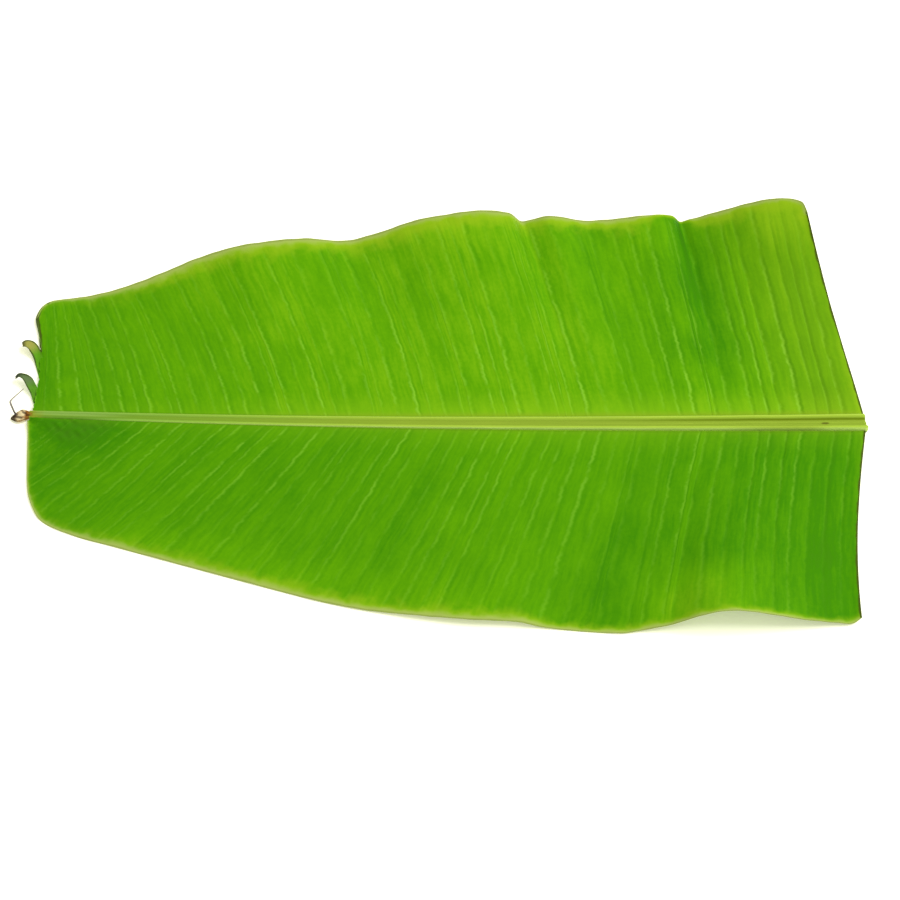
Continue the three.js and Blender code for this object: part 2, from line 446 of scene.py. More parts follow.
class GroupGraph(Graph):
    """Graph of a shared node group, with its named inputs and outputs."""

    def __init__(self, name: str, inputs: dict[str, float], outputs: Sequence[str]) -> None:
        """Makes the group.

        Args:
            name: Name of the group.
            inputs: Names of its inputs with their usual values.
            outputs: Names of its outputs.
        """
        super().__init__(bpy.data.node_groups.new(name, "ShaderNodeTree"))
        for label, usual in inputs.items():
            socket = self.tree.interface.new_socket(label, in_out="INPUT", socket_type="NodeSocketFloat")
            socket.default_value = usual
        for label in outputs:
            self.tree.interface.new_socket(label, in_out="OUTPUT", socket_type="NodeSocketFloat")
        self.taken = self.node("NodeGroupInput").outputs
        self.given = self.node("NodeGroupOutput").inputs

    def give(self, **results: Socket) -> bpy.types.NodeTree:
        """Wires the results to the group's outputs.

        Args:
            results: Sockets by the names of the outputs.

        Returns:
            The finished group.
        """
        for label, socket in results.items():
            self.feed(self.given[label], socket)
        return self.tree


@dataclass
class Effects:
    """Node groups that more than one finish uses, each built once.

    Pitches are turns of a noise for each vein and for the whole run of a vein.
    """

    ragged_pitch: Pair = (3.3, 40.0)
    ragged: Step = Step(*NOISE_RANGE, -0.052, 0.052)
    vein_strength: Step = Step(0.1, 0.9, 0.3, 1.0)
    break_pitch: Pair = (5.7, 11.0)
    break_softness: float = 0.09
    break_least: float = 0.1
    vein_fading: Step = Step(0.1, 0.8, 1.0, 0.42)
    furrow_offset: float = 1.3
    furrow_reach: float = 1.2
    furrow_breaks: Step = Step(0.1, 1.0, 0.4, 1.0)
    strip_middle: float = 0.5
    strip_draw: float = 0.25
    pleat_rise: Step = Step(0.05, 1.0, -0.5, 0.5)
    pleat_start: Step = Step(0.0, 0.14)
    pleat_height: Step = Step(0.0, 1.0, 0.4, 1.0)
    streak_pitch: Pair = (4.4, 7.0)
    swath_pitch: Pair = (0.7, 1.6)
    grain_fineness: float = 17.0
    drying_scale: float = 90.0
    drying_uneven: Step = Step(0.3, 0.7, 0.7, 1.3)
    drying_core: float = 0.4
    drying_power: float = 1.8

    @cached_property
    def veins(self) -> bpy.types.NodeTree:
        """Pale broken lines on the veins, painted shade as dark furrows beside them, painted shading across
        the strips, strips and streaks between.

        Returns:
            The node group.
        """
        inputs = {"Vein": 0.0, "Along": 0.0, "Width": 0.12, "Breaks": 0.4}
        graph = GroupGraph("leaf_veins", inputs, ("Line", "Furrow", "Pleat", "Strip", "Streak", "Swath"))
        vein, along, width = graph.taken["Vein"], graph.taken["Along"], graph.taken["Width"]
        nearest = graph.calc("ROUND", vein)
        ragged = graph.noise(graph.stretch(nearest, along, self.ragged_pitch), detail=4.0)
        ragged = graph.step(ragged, self.ragged)
        side = graph.plus(graph.calc("SUBTRACT", vein, nearest), ragged)
        strength = graph.step(graph.drawn(nearest), self.vein_strength)
        gone, whole = (
            graph.plus(graph.taken["Breaks"], step) for step in (-self.break_softness, self.break_softness)
        )
        run = graph.noise(graph.stretch(nearest, along, self.break_pitch), detail=5.0)
        broken = graph.ramp(run, gone, whole, self.break_least, 1.0)
        line = graph.ramp(graph.calc("ABSOLUTE", side), 0.0, width, 1.0, 0.0)
        line = graph.times(line, strength, graph.step(along, self.vein_fading), broken)
        # Painted shade: a dark line beside each vein, on the groove wall that turns from the light.
        beside = graph.calc("SUBTRACT", side, graph.times(width, self.furrow_offset))
        reach = graph.times(width, self.furrow_reach)
        furrow_shade = graph.ramp(graph.calc("ABSOLUTE", beside), 0.0, reach, 1.0, 0.0)
        furrow_shade = graph.times(furrow_shade, graph.step(broken, self.furrow_breaks), strength)
        # Painted shading across each strip: dark just past one vein and light before the next, as a sloped
        # strip under side light.
        place = graph.plus(vein, ragged)
        between = graph.plus(graph.calc("FLOOR", place), self.strip_middle)
        past = graph.calc("FRACT", place)
        pleat_shading = graph.times(
            graph.step(past, self.pleat_rise), graph.step(past, self.pleat_start),
            graph.step(graph.drawn(between), self.pleat_height),
        )
        return graph.give(
            Line=line, Furrow=furrow_shade, Pleat=pleat_shading, Strip=graph.drawn(graph.plus(between, self.strip_draw)),
            Streak=graph.noise(graph.stretch(vein, along, self.streak_pitch)),
            Swath=graph.noise(graph.stretch(vein, along, self.swath_pitch)),
        )

    @cached_property
    def mottle(self) -> bpy.types.NodeTree:
        """Broad clouds and fine grain of the leaf's tissue.

        Returns:
            The node group.
        """
        graph = GroupGraph("leaf_mottle", {"Scale": 20.0}, ("Cloud", "Grain"))
        place, scale = graph.object_place(), graph.taken["Scale"]
        fine = graph.times(scale, self.grain_fineness)
        return graph.give(Cloud=graph.noise(place, scale), Grain=graph.noise(place, fine))

    @cached_property
    def drying(self) -> bpy.types.NodeTree:
        """Yellowing, a pale line that is partly dried tissue and partly painted highlight on a rolled edge,
        and browning in from an edge, by the distance to it in millimetres.

        Returns:
            The node group.
        """
        inputs = {"Distance": 0.0, "Yellow Width": 17.0, "Pale Width": 7.5, "Brown Width": 1.5}
        graph = GroupGraph("leaf_drying", inputs, ("Yellow", "Pale", "Brown"))
        distance = graph.taken["Distance"]
        uneven = graph.noise(graph.object_place(), self.drying_scale, detail=4.0)
        uneven = graph.step(uneven, self.drying_uneven)
        yellow, pale, brown = (
            graph.times(graph.taken[label], uneven) for label in ("Yellow Width", "Pale Width", "Brown Width")
        )
        core = graph.times(brown, self.drying_core)
        yellow, pale = (
            graph.calc("POWER", graph.ramp(distance, core, width, 1.0, 0.0), self.drying_power)
            for width in (yellow, pale)
        )
        return graph.give(Yellow=yellow, Pale=pale, Brown=graph.ramp(distance, core, brown, 1.0, 0.0))

    @cached_property
    def fibres(self) -> bpy.types.NodeTree:
        """Long fibres that run along a stalk, from its place along and across.

        Returns:
            The node group.
        """
        graph = GroupGraph("leaf_fibres", {"Along": 0.0, "Across": 0.0, "Count": 30.0}, ("Fibre",))
        place = graph.stretch(graph.taken["Along"], graph.taken["Across"], (1.0, graph.taken["Count"]))
        return graph.give(Fibre=graph.noise(place, detail=4.0))


@dataclass(frozen=True)
class Finish:
    """Finish of one surface, made as a Principled material."""

    name: str
    specular: float = 0.2
    sheen: str = "#ffffff"
    bump: float = 0.15
    glow: float = 0.0
    glow_tint: str = "#ffffff"
    roughness: Step = Step(*NOISE_RANGE, 0.5, 0.75)

    def shade(self, effects: Effects, graph: Graph) -> tuple[Socket, Socket, Socket]:
        """Wires the finish's own pattern.

        Args:
            effects: Shared node groups.
            graph: Graph of the material.

        Returns:
            Colour, grain and height.
        """
        raise NotImplementedError

    def shining(self, graph: Graph) -> Value:
        """Strength of the light that the finish gives off."""
        return self.glow

    def material(self, effects: Effects) -> bpy.types.Material:
        """Builds the material.

        Args:
            effects: Shared node groups.

        Returns:
            The material, with its bump in millimetres of height.
        """
        material = bpy.data.materials.new(self.name)
        material.use_nodes = True
        graph = Graph(material.node_tree)
        colour, grain, height = self.shade(effects, graph)
        roughness = graph.step(grain, self.roughness)
        bump = graph.node("ShaderNodeBump", {"Height": height, "Distance": self.bump * MM, "Strength": 1.0})
        shader = graph.node("ShaderNodeBsdfPrincipled", {
            "Base Color": colour,
            "Roughness": roughness,
            "Normal": bump.outputs[0],
            "Specular IOR Level": self.specular,
            "Specular Tint": self.sheen,
            "Emission Strength": self.shining(graph),
            "Emission Color": self.glow_tint,
        })
        graph.node("ShaderNodeOutputMaterial", {"Surface": shader.outputs[0]})
        return material


@dataclass(frozen=True)
class BladeFinish(Finish):
    """Finish of a face of the blade: veined green that yellows and browns towards its edges, with painted
    shade and light in its furrows, pleats and tone bands and beside the midrib.

    The blade is open where its veins stand far apart, and close where they stand near each other.
    """

    specular: float = 0.04
    sheen: str = "#a8d838"
    bump: float = 0.1
    roughness: Step = Step(*NOISE_RANGE, 0.45, 0.62)
    dull: str = "#3f7512"
    deep: str = "#3b7f06"
    fresh: str = "#589806"
    pale: str = "#7aae10"
    vein: str = "#86be36"
    # Painted light: paler blade beside the midrib, strongest on the right half.
    painted_light_by_midrib: str = "#7eb016"
    root_strip: str = "#809c20"
    # Painted shade: thin dark line where the blade meets the midrib.
    painted_shade_at_root: str = "#4e7a0c"
    root_pale: str = "#82a62c"
    margin: str = "#8aae18"
    # Pale line inside the margin: partly dried tissue, partly painted highlight on the rolled rim.
    pale_line_and_highlight: str = "#9aac54"
    edge: str = "#8a9a48"
    cut_edge: str = "#424f14"
    aged: str = "#7d961a"
    vein_breaks: float = 0.465
    vein_width: Step = Step(0.0, 1.0, 0.155, 0.145)
    close_vein_share: Step = Step(30.0, 44.0, 0.37, 0.28)
    open_vein_share: float = 0.56
    # Shares of the painted furrow shade beside the veins and of the painted pleat shading across the strips
    furrow_share: float = 0.38
    pleated_furrow_share: float = 0.7
    pleated_vein: float = 1.15
    flat_pleat: float = 0.1
    open_pleat: float = 0.2
    close_pleat: float = 0.12
    pleated_veins: Step = Step(41.0, 49.0)
    pleated_run: Step = Step(0.3, 0.95, 1.0, 0.25)
    unfolded: Step = Step(-1.2, -0.7, 0.2, 1.0)
    liveliness: Step = Step(0.0, 1.0, 0.9, 1.2)
    cloud_share: float = 0.25
    swath_share: float = 0.3
    streak_share: float = 0.42
    strip_share: float = 0.15
    grain_share: float = 0.17
    grain_height: float = 0.5
    painted_light_by_midrib_run: Step = Step(0.0, 0.16, 0.55, 0.0)
    painted_light_by_midrib_share: Step = Step(0.0, 1.0, 0.28, 1.0)
    strip_run: Step = Step(0.0, 0.04, 0.95, 0.0)
    painted_shade_at_root_run: Step = Step(0.004, 0.02, 1.0, 0.0)
    painted_shade_at_root_share: Step = Step(0.0, 1.0, 0.7, 0.2)
    root_pale_run: Step = Step(0.004, 0.011, 0.9, 0.0)
    aged_reach: Step = Step(10.0, 110.0, 0.28, 0.0)
    aged_share: Step = Step(0.3, 1.0)
    cut_yellow_width: float = 10.0
    cut_brown_width: float = 2.4
    cut_yellow_run: Step = Step(0.02, 0.4, 0.5, 0.1)
    cut_yellow_share: Step = Step(0.2, 1.0, 0.2, 1.0)
    yellow_share: Step = Step(0.0, 0.25, 0.4, 0.95)
    pale_width: Step = Step(0.25, 1.0, 7.5, 4.6)

    def tone(self, graph: Graph, band: Socket, lively: Socket, *patterns: tuple[Socket, float]) -> Socket:
        """Tone of the tissue: its band with shares of the patterns that vary about their middle.

        Args:
            graph: Graph of the material.
            band: Tone of the band.
            lively: Factor on all of the patterns.
            patterns: Patterns with their shares.

        Returns:
            The tone.
        """
        varied = 0.0
        for pattern, share in patterns:
            varied = graph.plus(varied, graph.ramp(pattern, *NOISE_RANGE, -share / 2, share / 2))
        return graph.plus(band, graph.times(varied, lively))

    def shade(self, effects: Effects, graph: Graph) -> tuple[Socket, Socket, Socket]:
        """Wires veins over a banded green, then the paler root and the drying edges.

        Args:
            effects: Shared node groups.
            graph: Graph of the material.

        Returns:
            Colour, grain and height.
        """
        vein, along, open_share = graph.mark("leaf_place")
        margin, cut, band = graph.mark("leaf_edge")
        veins = graph.use(
            effects.veins, Vein=vein, Along=along, Width=graph.step(open_share, self.vein_width),
            Breaks=self.vein_breaks,
        )
        mottle = graph.use(effects.mottle)
        paling = graph.step(open_share, self.pale_width)
        drying = graph.use(effects.drying, Distance=margin, **{"Pale Width": paling})
        cut_widths = {"Yellow Width": self.cut_yellow_width, "Brown Width": self.cut_brown_width}
        cutting = graph.use(effects.drying, Distance=cut, **cut_widths)
        # Strength of the painted pleat shading, which also deepens the painted furrow shade and strengthens
        # the vein lines.
        pleat_shade_strength = graph.times(
            graph.step(vein, self.pleated_veins), graph.step(along, self.pleated_run),
            graph.ramp(open_share, 0.0, 1.0, self.close_pleat, self.open_pleat),
        )
        unfolded = graph.step(band, self.unfolded)
        tone = self.tone(
            graph, band, graph.step(open_share, self.liveliness), (mottle["Cloud"], self.cloud_share),
            (veins["Swath"], self.swath_share), (veins["Streak"], self.streak_share),
            (veins["Strip"], self.strip_share), (mottle["Grain"], self.grain_share),
        )
        tone = graph.plus(tone, graph.times(veins["Pleat"], graph.plus(pleat_shade_strength, self.flat_pleat)))
        colour = self.dull
        for level, green in enumerate((self.deep, self.fresh, self.pale), start=-1):
            colour = graph.mix(graph.ramp(tone, level - 1.0, level, form="LINEAR"), colour, green)
        # Painted light on the blade beside the midrib, strongest on the open right half.
        beside = graph.times(graph.step(along, self.painted_light_by_midrib_run), graph.step(open_share, self.painted_light_by_midrib_share))
        furrowed = graph.ramp(pleat_shade_strength, 0.0, self.open_pleat, self.furrow_share, self.pleated_furrow_share)
        close_share = graph.step(vein, self.close_vein_share)
        # Pale vein lines, stronger where the pleat shading is, where they also paint the lit wall of each
        # groove.
        shown = graph.times(
            graph.ramp(open_share, 0.0, 1.0, close_share, self.open_vein_share), unfolded,
            graph.ramp(pleat_shade_strength, 0.0, self.open_pleat, 1.0, self.pleated_vein),
        )
        # Painted shade: a thin dark line along the blade's root at the midrib.
        shaded_at_root = graph.times(graph.step(along, self.painted_shade_at_root_run), graph.step(open_share, self.painted_shade_at_root_share))
        aged = graph.times(graph.step(cut, self.aged_reach), graph.step(open_share, self.aged_share))
        cut_yellow = graph.times(
            cutting["Yellow"], graph.step(along, self.cut_yellow_run),
            graph.step(open_share, self.cut_yellow_share),
        )
        yellowed = graph.times(drying["Yellow"], graph.step(open_share, self.yellow_share), unfolded)
        for share, laid in (
            (beside, self.painted_light_by_midrib),
            # Painted shade of the furrows beside the veins, in the deep green.
            (graph.times(veins["Furrow"], furrowed), self.deep),
            (graph.times(veins["Line"], shown), self.vein),
            (graph.times(graph.step(along, self.strip_run), open_share), self.root_strip),
            (shaded_at_root, self.painted_shade_at_root),
            (graph.step(along, self.root_pale_run), self.root_pale),
            (aged, self.aged),
            (cut_yellow, self.margin),
            (yellowed, self.margin),
            # Pale line at the margin, partly a painted highlight on the rolled rim.
            (graph.times(drying["Pale"], unfolded), self.pale_line_and_highlight),
            (cutting["Brown"], self.cut_edge),
            (drying["Brown"], self.edge),
        ):
            colour = graph.mix(share, colour, laid)
        grain = graph.times(mottle["Grain"], self.grain_height)
        return colour, mottle["Grain"], graph.plus(veins["Streak"], grain, veins["Line"])


@dataclass(frozen=True)
class TornFinish(Finish):
    """Finish of a torn strip: veined green that dries to its curled end and along its edges."""

    specular: float = 0.1
    fresh: str = "#5c9c0a"
    deep: str = "#4c8a0a"
    drying: str = "#a09a48"
    withered: str = "#4c4a26"
    edge: str = "#3a4a16"
    vein: str = "#7eae36"
    vein_count: float = 4.0
    vein_width: float = 0.2
    vein_share: float = 0.5
    mottle_scale: float = 120.0
    tone: Step = Step(0.7, 1.3)
    yellow_width: float = 1.6
    brown_width: float = 1.5
    drying_run: Step = Step(0.66, 0.91, 0.0, 0.9)
    withered_run: Step = Step(0.94, 1.0, 0.0, 0.9)
    inner_edge: Step = Step(0.62, 0.8, 0.0, 0.9)
    outer_edge: Step = Step(0.25, 0.6, 0.0, 0.9)
    between_edges: float = 0.2

    def shade(self, effects: Effects, graph: Graph) -> tuple[Socket, Socket, Socket]:
        """Wires lengthwise veins over green that dries to the end and darkens to the edges.

        Args:
            effects: Shared node groups.
            graph: Graph of the material.

        Returns:
            Colour, grain and height.
        """
        along, across, edge = graph.mark("lobe_place")
        vein = graph.times(across, self.vein_count)
        veins = graph.use(effects.veins, Vein=vein, Along=along, Width=self.vein_width)
        mottle = graph.use(effects.mottle, Scale=self.mottle_scale)
        widths = {"Yellow Width": self.yellow_width, "Brown Width": self.brown_width}
        drying = graph.use(effects.drying, Distance=edge, **widths)
        tone = graph.step(graph.plus(mottle["Cloud"], veins["Streak"]), self.tone)
        inner, outer = (graph.step(along, run) for run in (self.inner_edge, self.outer_edge))
        edged = graph.ramp(across, -self.between_edges, self.between_edges, inner, outer)
        colour = self.deep
        for share, laid in (
            (tone, self.fresh),
            (graph.times(veins["Line"], self.vein_share), self.vein),
            (graph.step(along, self.drying_run), self.drying),
            (graph.times(drying["Brown"], edged), self.edge),
            (graph.step(along, self.withered_run), self.withered),
        ):
            colour = graph.mix(share, colour, laid)
        return colour, mottle["Grain"], graph.plus(veins["Streak"], mottle["Grain"])


@dataclass(frozen=True)
class MidribFinish(Finish):
    """Finish of the midrib: pale shoulders beside an olive channel, streaked along its length, with painted
    light on the outer flanks and painted shade on the flank below the blade and on the near shoulder towards
    the cut end.

    Steps named for a run go by x in millimetres. The others go by the share across the midrib, from -1 on
    its left to 1, or up its section, from 0 at the keel to 1.
    """

    sheen: str = "#d8ec70"
    roughness: Step = Step(0.3, 0.7, 0.4, 0.55)
    channel: str = "#88a02f"
    young_channel: str = "#6b962b"
    shoulder: str = "#a4c23e"
    young: str = "#7bac45"
    groove: str = "#6c800f"
    ridge: str = "#9ab239"
    hollow: str = "#58821f"
    # Painted light: pale colour on the steep outer flanks of the shoulders.
    outer: str = "#c6e272"
    # Dark olive of the flank below the blade's seat, painted shade there; also the tint of the fibre streaks.
    flank: str = "#5c7c12"
    keel: str = "#9fb552"
    tip: str = "#8d9328"
    scar: str = "#55521a"
    wan: str = "#86aa4c"
    fibre_pitch: float = 0.02
    fibre_count: float = 16.0
    fibre_offset: Step = Step(0.3, 0.7, -0.02, 0.02)
    fibre_tint: Step = Step(0.35, 0.65)
    fibre_share: float = 0.2
    mottle_scale: float = 60.0
    grain_height: float = 0.4
    young_run: Step = Step(0.0, 330.0, 0.9, 0.0)
    flank_up: Step = Step(0.3, 0.62)
    channel_up: Step = Step(0.72, 0.78)
    shoulder_up: Step = Step(0.81, 0.91)
    outer_across: Step = Step(0.7, 0.82)
    outer_up: Step = Step(0.66, 0.72)
    painted_light_across: Step = Step(0.8, 0.97)
    painted_light_age: Step = Step(0.0, 0.9, 1.0, 0.3)
    top_up: Step = Step(0.5, 0.6)
    grooved_run: Step = Step(430.0, 600.0)
    groove_place: float = 0.4
    ridge_place: float = -0.04
    groove_width: float = 0.2
    # Painted shade on the near shoulder between x 540 and 665.
    shaded_shoulder_run: Step = Step(540.0, 630.0, 0.0, 0.6)
    shaded_shoulder_end: Step = Step(640.0, 665.0, 1.0, 0.0)
    shaded_shoulder_across: Step = Step(-0.6, -0.4, 1.0, 0.0)
    wan_run: Step = Step(40.0, 90.0, 0.9, 0.0)
    wan_across: Step = Step(-0.3, 0.2)
    hollow_run: Step = Step(30.0, 90.0, 0.95, 0.0)
    hollow_across: Step = Step(-0.9, 0.1, 1.0, 0.0)
    tip_start: float = -2.0
    tip_reach: float = 16.0
    tip_share: float = 0.85
    tip_uneven: Step = Step(0.3, 0.7, -6.0, 6.0)
    scar_place: Pair = (655.0, -0.12)
    scar_size: Pair = (4.0, 0.14)
    scar_edge: Step = Step(0.2, 1.0, 0.8, 0.0)

    def scarred(self, graph: Graph, x: Socket, across: Socket, up: Socket) -> Socket:
        """Share of a small scar on the channel's floor.

        Args:
            graph: Graph of the material.
            x: Place along the midrib, in millimetres.
            across: Share across it.
            up: Share up its section.

        Returns:
            The share.
        """
        aside = [
            graph.calc("DIVIDE", graph.calc("SUBTRACT", value, middle), size)
            for value, middle, size in zip((x, across), self.scar_place, self.scar_size)
        ]
        spot = graph.step(graph.plus(*(graph.times(value, value) for value in aside)), self.scar_edge)
        return graph.times(spot, graph.step(up, self.top_up))

    def shade(self, effects: Effects, graph: Graph) -> tuple[Socket, Socket, Socket]:
        """Wires the colours up the section, the fibres and the drying tip.

        Args:
            effects: Shared node groups.
            graph: Graph of the material.

        Returns:
            Colour, grain and height.
        """
        x, across, up = graph.mark("rib_place")
        run = graph.times(x, self.fibre_pitch)
        fibre = graph.use(effects.fibres, Along=run, Across=across, Count=self.fibre_count)["Fibre"]
        mottle = graph.use(effects.mottle, Scale=self.mottle_scale)
        uneven = graph.plus(up, graph.step(fibre, self.fibre_offset))
        youth = graph.step(x, self.young_run)
        pale = graph.mix(youth, self.shoulder, self.young)
        channel = graph.mix(youth, self.channel, self.young_channel)
        outside = graph.calc("ABSOLUTE", across)
        # The outer flanks take the shoulder colour, then the outer colour: painted light where they turn from
        # the light.
        outer = graph.times(graph.step(outside, self.outer_across), graph.step(uneven, self.outer_up))
        shoulders = graph.calc("MAXIMUM", graph.step(uneven, self.shoulder_up), outer)
        painted_light_flank = graph.times(outer, graph.step(outside, self.painted_light_across), graph.step(youth, self.painted_light_age))
        grown = graph.times(graph.step(x, self.grooved_run), graph.step(up, self.top_up))
        grooved, ridged = (
            graph.times(graph.ramp(graph.calc("ABSOLUTE", graph.calc("SUBTRACT", across, place)),
                                   0.0, self.groove_width, 1.0, 0.0), grown)
            for place in (self.groove_place, self.ridge_place)
        )
        # Painted shade: the near shoulder darkened to the channel colour towards the cut end.
        shaded_shoulder = graph.times(graph.step(x, self.shaded_shoulder_run), graph.step(x, self.shaded_shoulder_end),
                             graph.step(across, self.shaded_shoulder_across))
        wan = graph.times(graph.step(x, self.wan_run), graph.step(across, self.wan_across))
        hollowed = graph.times(graph.step(x, self.hollow_run), graph.step(across, self.hollow_across))
        reach = graph.plus(self.tip_reach, graph.step(mottle["Cloud"], self.tip_uneven))
        colour = self.keel
        for share, laid in (
            # Dark flank below the blade's seat: painted shade under the blade's root.
            (graph.step(uneven, self.flank_up), self.flank),
            (graph.step(uneven, self.channel_up), channel),
            (shoulders, pale),
            # Painted light on the outer flanks.
            (painted_light_flank, self.outer),
            (grooved, self.groove),
            (ridged, self.ridge),
            (graph.times(graph.step(fibre, self.fibre_tint), self.fibre_share), self.flank),
            (shaded_shoulder, self.channel),
            (wan, self.wan),
            (hollowed, self.hollow),
            (graph.ramp(x, self.tip_start, reach, self.tip_share, 0.0), self.tip),
            (self.scarred(graph, x, across, up), self.scar),
        ):
            colour = graph.mix(share, colour, laid)
        return colour, mottle["Grain"], graph.plus(fibre, graph.times(mottle["Grain"], self.grain_height))


@dataclass(frozen=True)
class PithFinish(Finish):
    """Finish of the midrib's cut end: pale pith with rows of air cells."""

    bump: float = 0.3
    roughness: Step = Step(0.3, 0.7, 0.55, 0.8)
    pith: str = "#cfd79a"
    cell: str = "#8d9a4c"
    cell_scale: float = 520.0
    cell_edge: Step = Step(0.12, 0.42, 1.0, 0.0)
    cell_share: float = 0.75
    cell_height: float = -2.0
    mottle_scale: float = 90.0
    clouds: Step = Step(0.4, 0.8, 0.0, 0.4)

    def shade(self, effects: Effects, graph: Graph) -> tuple[Socket, Socket, Socket]:
        """Wires dark cells into the pith.

        Args:
            effects: Shared node groups.
            graph: Graph of the material.

        Returns:
            Colour, grain and height.
        """
        inputs = {"Vector": graph.object_place(), "Scale": self.cell_scale}
        cell = graph.node("ShaderNodeTexVoronoi", inputs).outputs["Distance"]
        mottle = graph.use(effects.mottle, Scale=self.mottle_scale)
        open_cell = graph.step(cell, self.cell_edge)
        colour = graph.mix(graph.times(open_cell, self.cell_share), self.pith, self.cell)
        colour = graph.mix(graph.step(mottle["Cloud"], self.clouds), colour, self.cell)
        return colour, mottle["Grain"], graph.times(open_cell, self.cell_height)


@dataclass(frozen=True)
class WitheredFinish(Finish):
    """Finish of what has dried: tan, folded into brown and nearly black."""

    specular: float = 0.1
    bump: float = 0.3
    roughness: Step = Step(0.3, 0.7, 0.7, 0.95)
    tan: str = "#e0cf9c"
    brown: str = "#8a5a20"
    black: str = "#2a190c"
    fresh: str = "#8a7f24"
    fibre_pitch: float = 4.0
    fibre_count: float = 9.0
    fibre_share: float = 0.6
    cloud_share: float = 0.4
    mottle_scale: float = 160.0
    tan_run: Step = Step(0.26, 0.38)
    tan_tone: Step = Step(0.36, 0.56)
    fold_shadow: Step = Step(0.0, 0.5, 0.75, 0.0)
    dark_run: Step = Step(0.62, 0.84, 0.0, 0.9)
    fresh_run: Step = Step(0.0, 0.2, 0.9, 0.0)

    def shade(self, effects: Effects, graph: Graph) -> tuple[Socket, Socket, Socket]:
        """Wires fibres and folds in browns, green where the tip still lives.

        Args:
            effects: Shared node groups.
            graph: Graph of the material.

        Returns:
            Colour, grain and height.
        """
        along, across, fold = graph.mark("dry_place")
        run = graph.times(along, self.fibre_pitch)
        fibre = graph.use(effects.fibres, Along=run, Across=across, Count=self.fibre_count)["Fibre"]
        mottle = graph.use(effects.mottle, Scale=self.mottle_scale)
        clouded = graph.times(mottle["Cloud"], self.cloud_share)
        tone = graph.plus(graph.times(fibre, self.fibre_share), clouded)
        colour = self.brown
        for share, laid in (
            (graph.times(graph.step(along, self.tan_run), graph.step(tone, self.tan_tone)), self.tan),
            (graph.step(fold, self.fold_shadow), self.black),
            (graph.step(along, self.dark_run), self.black),
            (graph.step(along, self.fresh_run), self.fresh),
        ):
            colour = graph.mix(share, colour, laid)
        return colour, mottle["Grain"], graph.plus(fibre, mottle["Grain"])


@dataclass(frozen=True)
class FloorFinish(Finish):
    """Finish of the pale floor, a little uneven in gloss, glowing as a light table."""

    specular: float = 0.0
    bump: float = 0.01
    roughness: Step = Step(0.3, 0.7, 0.75, 0.85)
    glow: float = 0.54
    # Yellow tint of the glow, which paints yellow-green light through the leaf into the painted shadow under
    # it.
    glow_tint: str = "#fcffcc"
    pale: str = "#f7f5ea"
    shaded: str = "#f3f1e6"
    mottle_scale: float = 3.0
    shadow_reach: float = 0.045
    shadow_least: float = 0.25
    shadow_rays: int = 16

    def shining(self, graph: Graph) -> Value:
        """Light of the floor, less of it close under the leaf as painted shadow.

        Args:
            graph: Graph of the material.

        Returns:
            Strength of the light.
        """
        inputs = {"Distance": self.shadow_reach}
        free = graph.node("ShaderNodeAmbientOcclusion", inputs, samples=self.shadow_rays).outputs["AO"]
        return graph.ramp(free, 0.0, 1.0, self.shadow_least * self.glow, self.glow, form="LINEAR")

    def shade(self, effects: Effects, graph: Graph) -> tuple[Socket, Socket, Socket]:
        """Wires faint clouds into a pale matt colour."""
        mottle = graph.use(effects.mottle, Scale=self.mottle_scale)
        return graph.mix(mottle["Cloud"], self.pale, self.shaded), mottle["Grain"], mottle["Grain"]


UPPER = BladeFinish("blade_upper")
UNDER = BladeFinish(
    "blade_under",
    sheen="#ffffff",
    roughness=Step(*NOISE_RANGE, 0.6, 0.75),
    deep="#5c8534",
    fresh="#759d48",
    pale="#8bb05c",
    vein="#a9c27c",
    painted_light_by_midrib="#9ab65e",
    margin="#9aa94a",
    open_vein_share=0.7,
    close_vein_share=Step(30.0, 44.0, 0.7, 0.28),
)
RIM = BladeFinish("blade_rim", margin="#8c9440", deep="#6b7a26", fresh="#7d8a30", pale="#8a9440")
TORN = TornFinish("torn_lobe")
SHRIVELLED = TornFinish(
    "torn_lobe_shrivelled",
    fresh="#5b9414",
    deep="#4c8416",
    drying="#5f7048",
    withered="#2a2c28",
    drying_run=Step(0.5, 0.75, 0.0, 0.9),
    withered_run=Step(0.8, 1.0, 0.0, 0.9),
)
ROLLED = TornFinish(
    "torn_rolled_edge",
    fresh="#6c8c30",
    deep="#456020",
    drying="#52642a",
    withered="#66782c",
    drying_run=Step(0.3, 0.55, 0.0, 0.9),
)
MIDRIB_SKIN = MidribFinish("midrib_skin")
PITH = PithFinish("midrib_pith")
WITHERED = WitheredFinish("withered_tip")
FIBRE = WitheredFinish(
    "withered_fibre",
    bump=0.1,
    tan="#a59d92",
    brown="#8c8378",
    black="#938a7e",
    fresh="#37322c",
    fresh_run=Step(0.0, 0.72, 0.9, 0.0),
    tan_run=Step(-0.12, 0.0),
)
FLOOR = FloorFinish("floor")


@dataclass
class Skin:
    """Points, faces and marks of a mesh on its way to become a piece, in the leaf's millimetres."""

    points: np.ndarray
    faces: list[list[int]]
    finish_places: list[int]
    marks: dict[str, np.ndarray]
    bake_corners: np.ndarray | None = None


@dataclass(frozen=True)
class RibSection:
    """Sizes of the midrib's section at one of its ends, in millimetres."""

    half_width: float
    depth: float
    keel: float


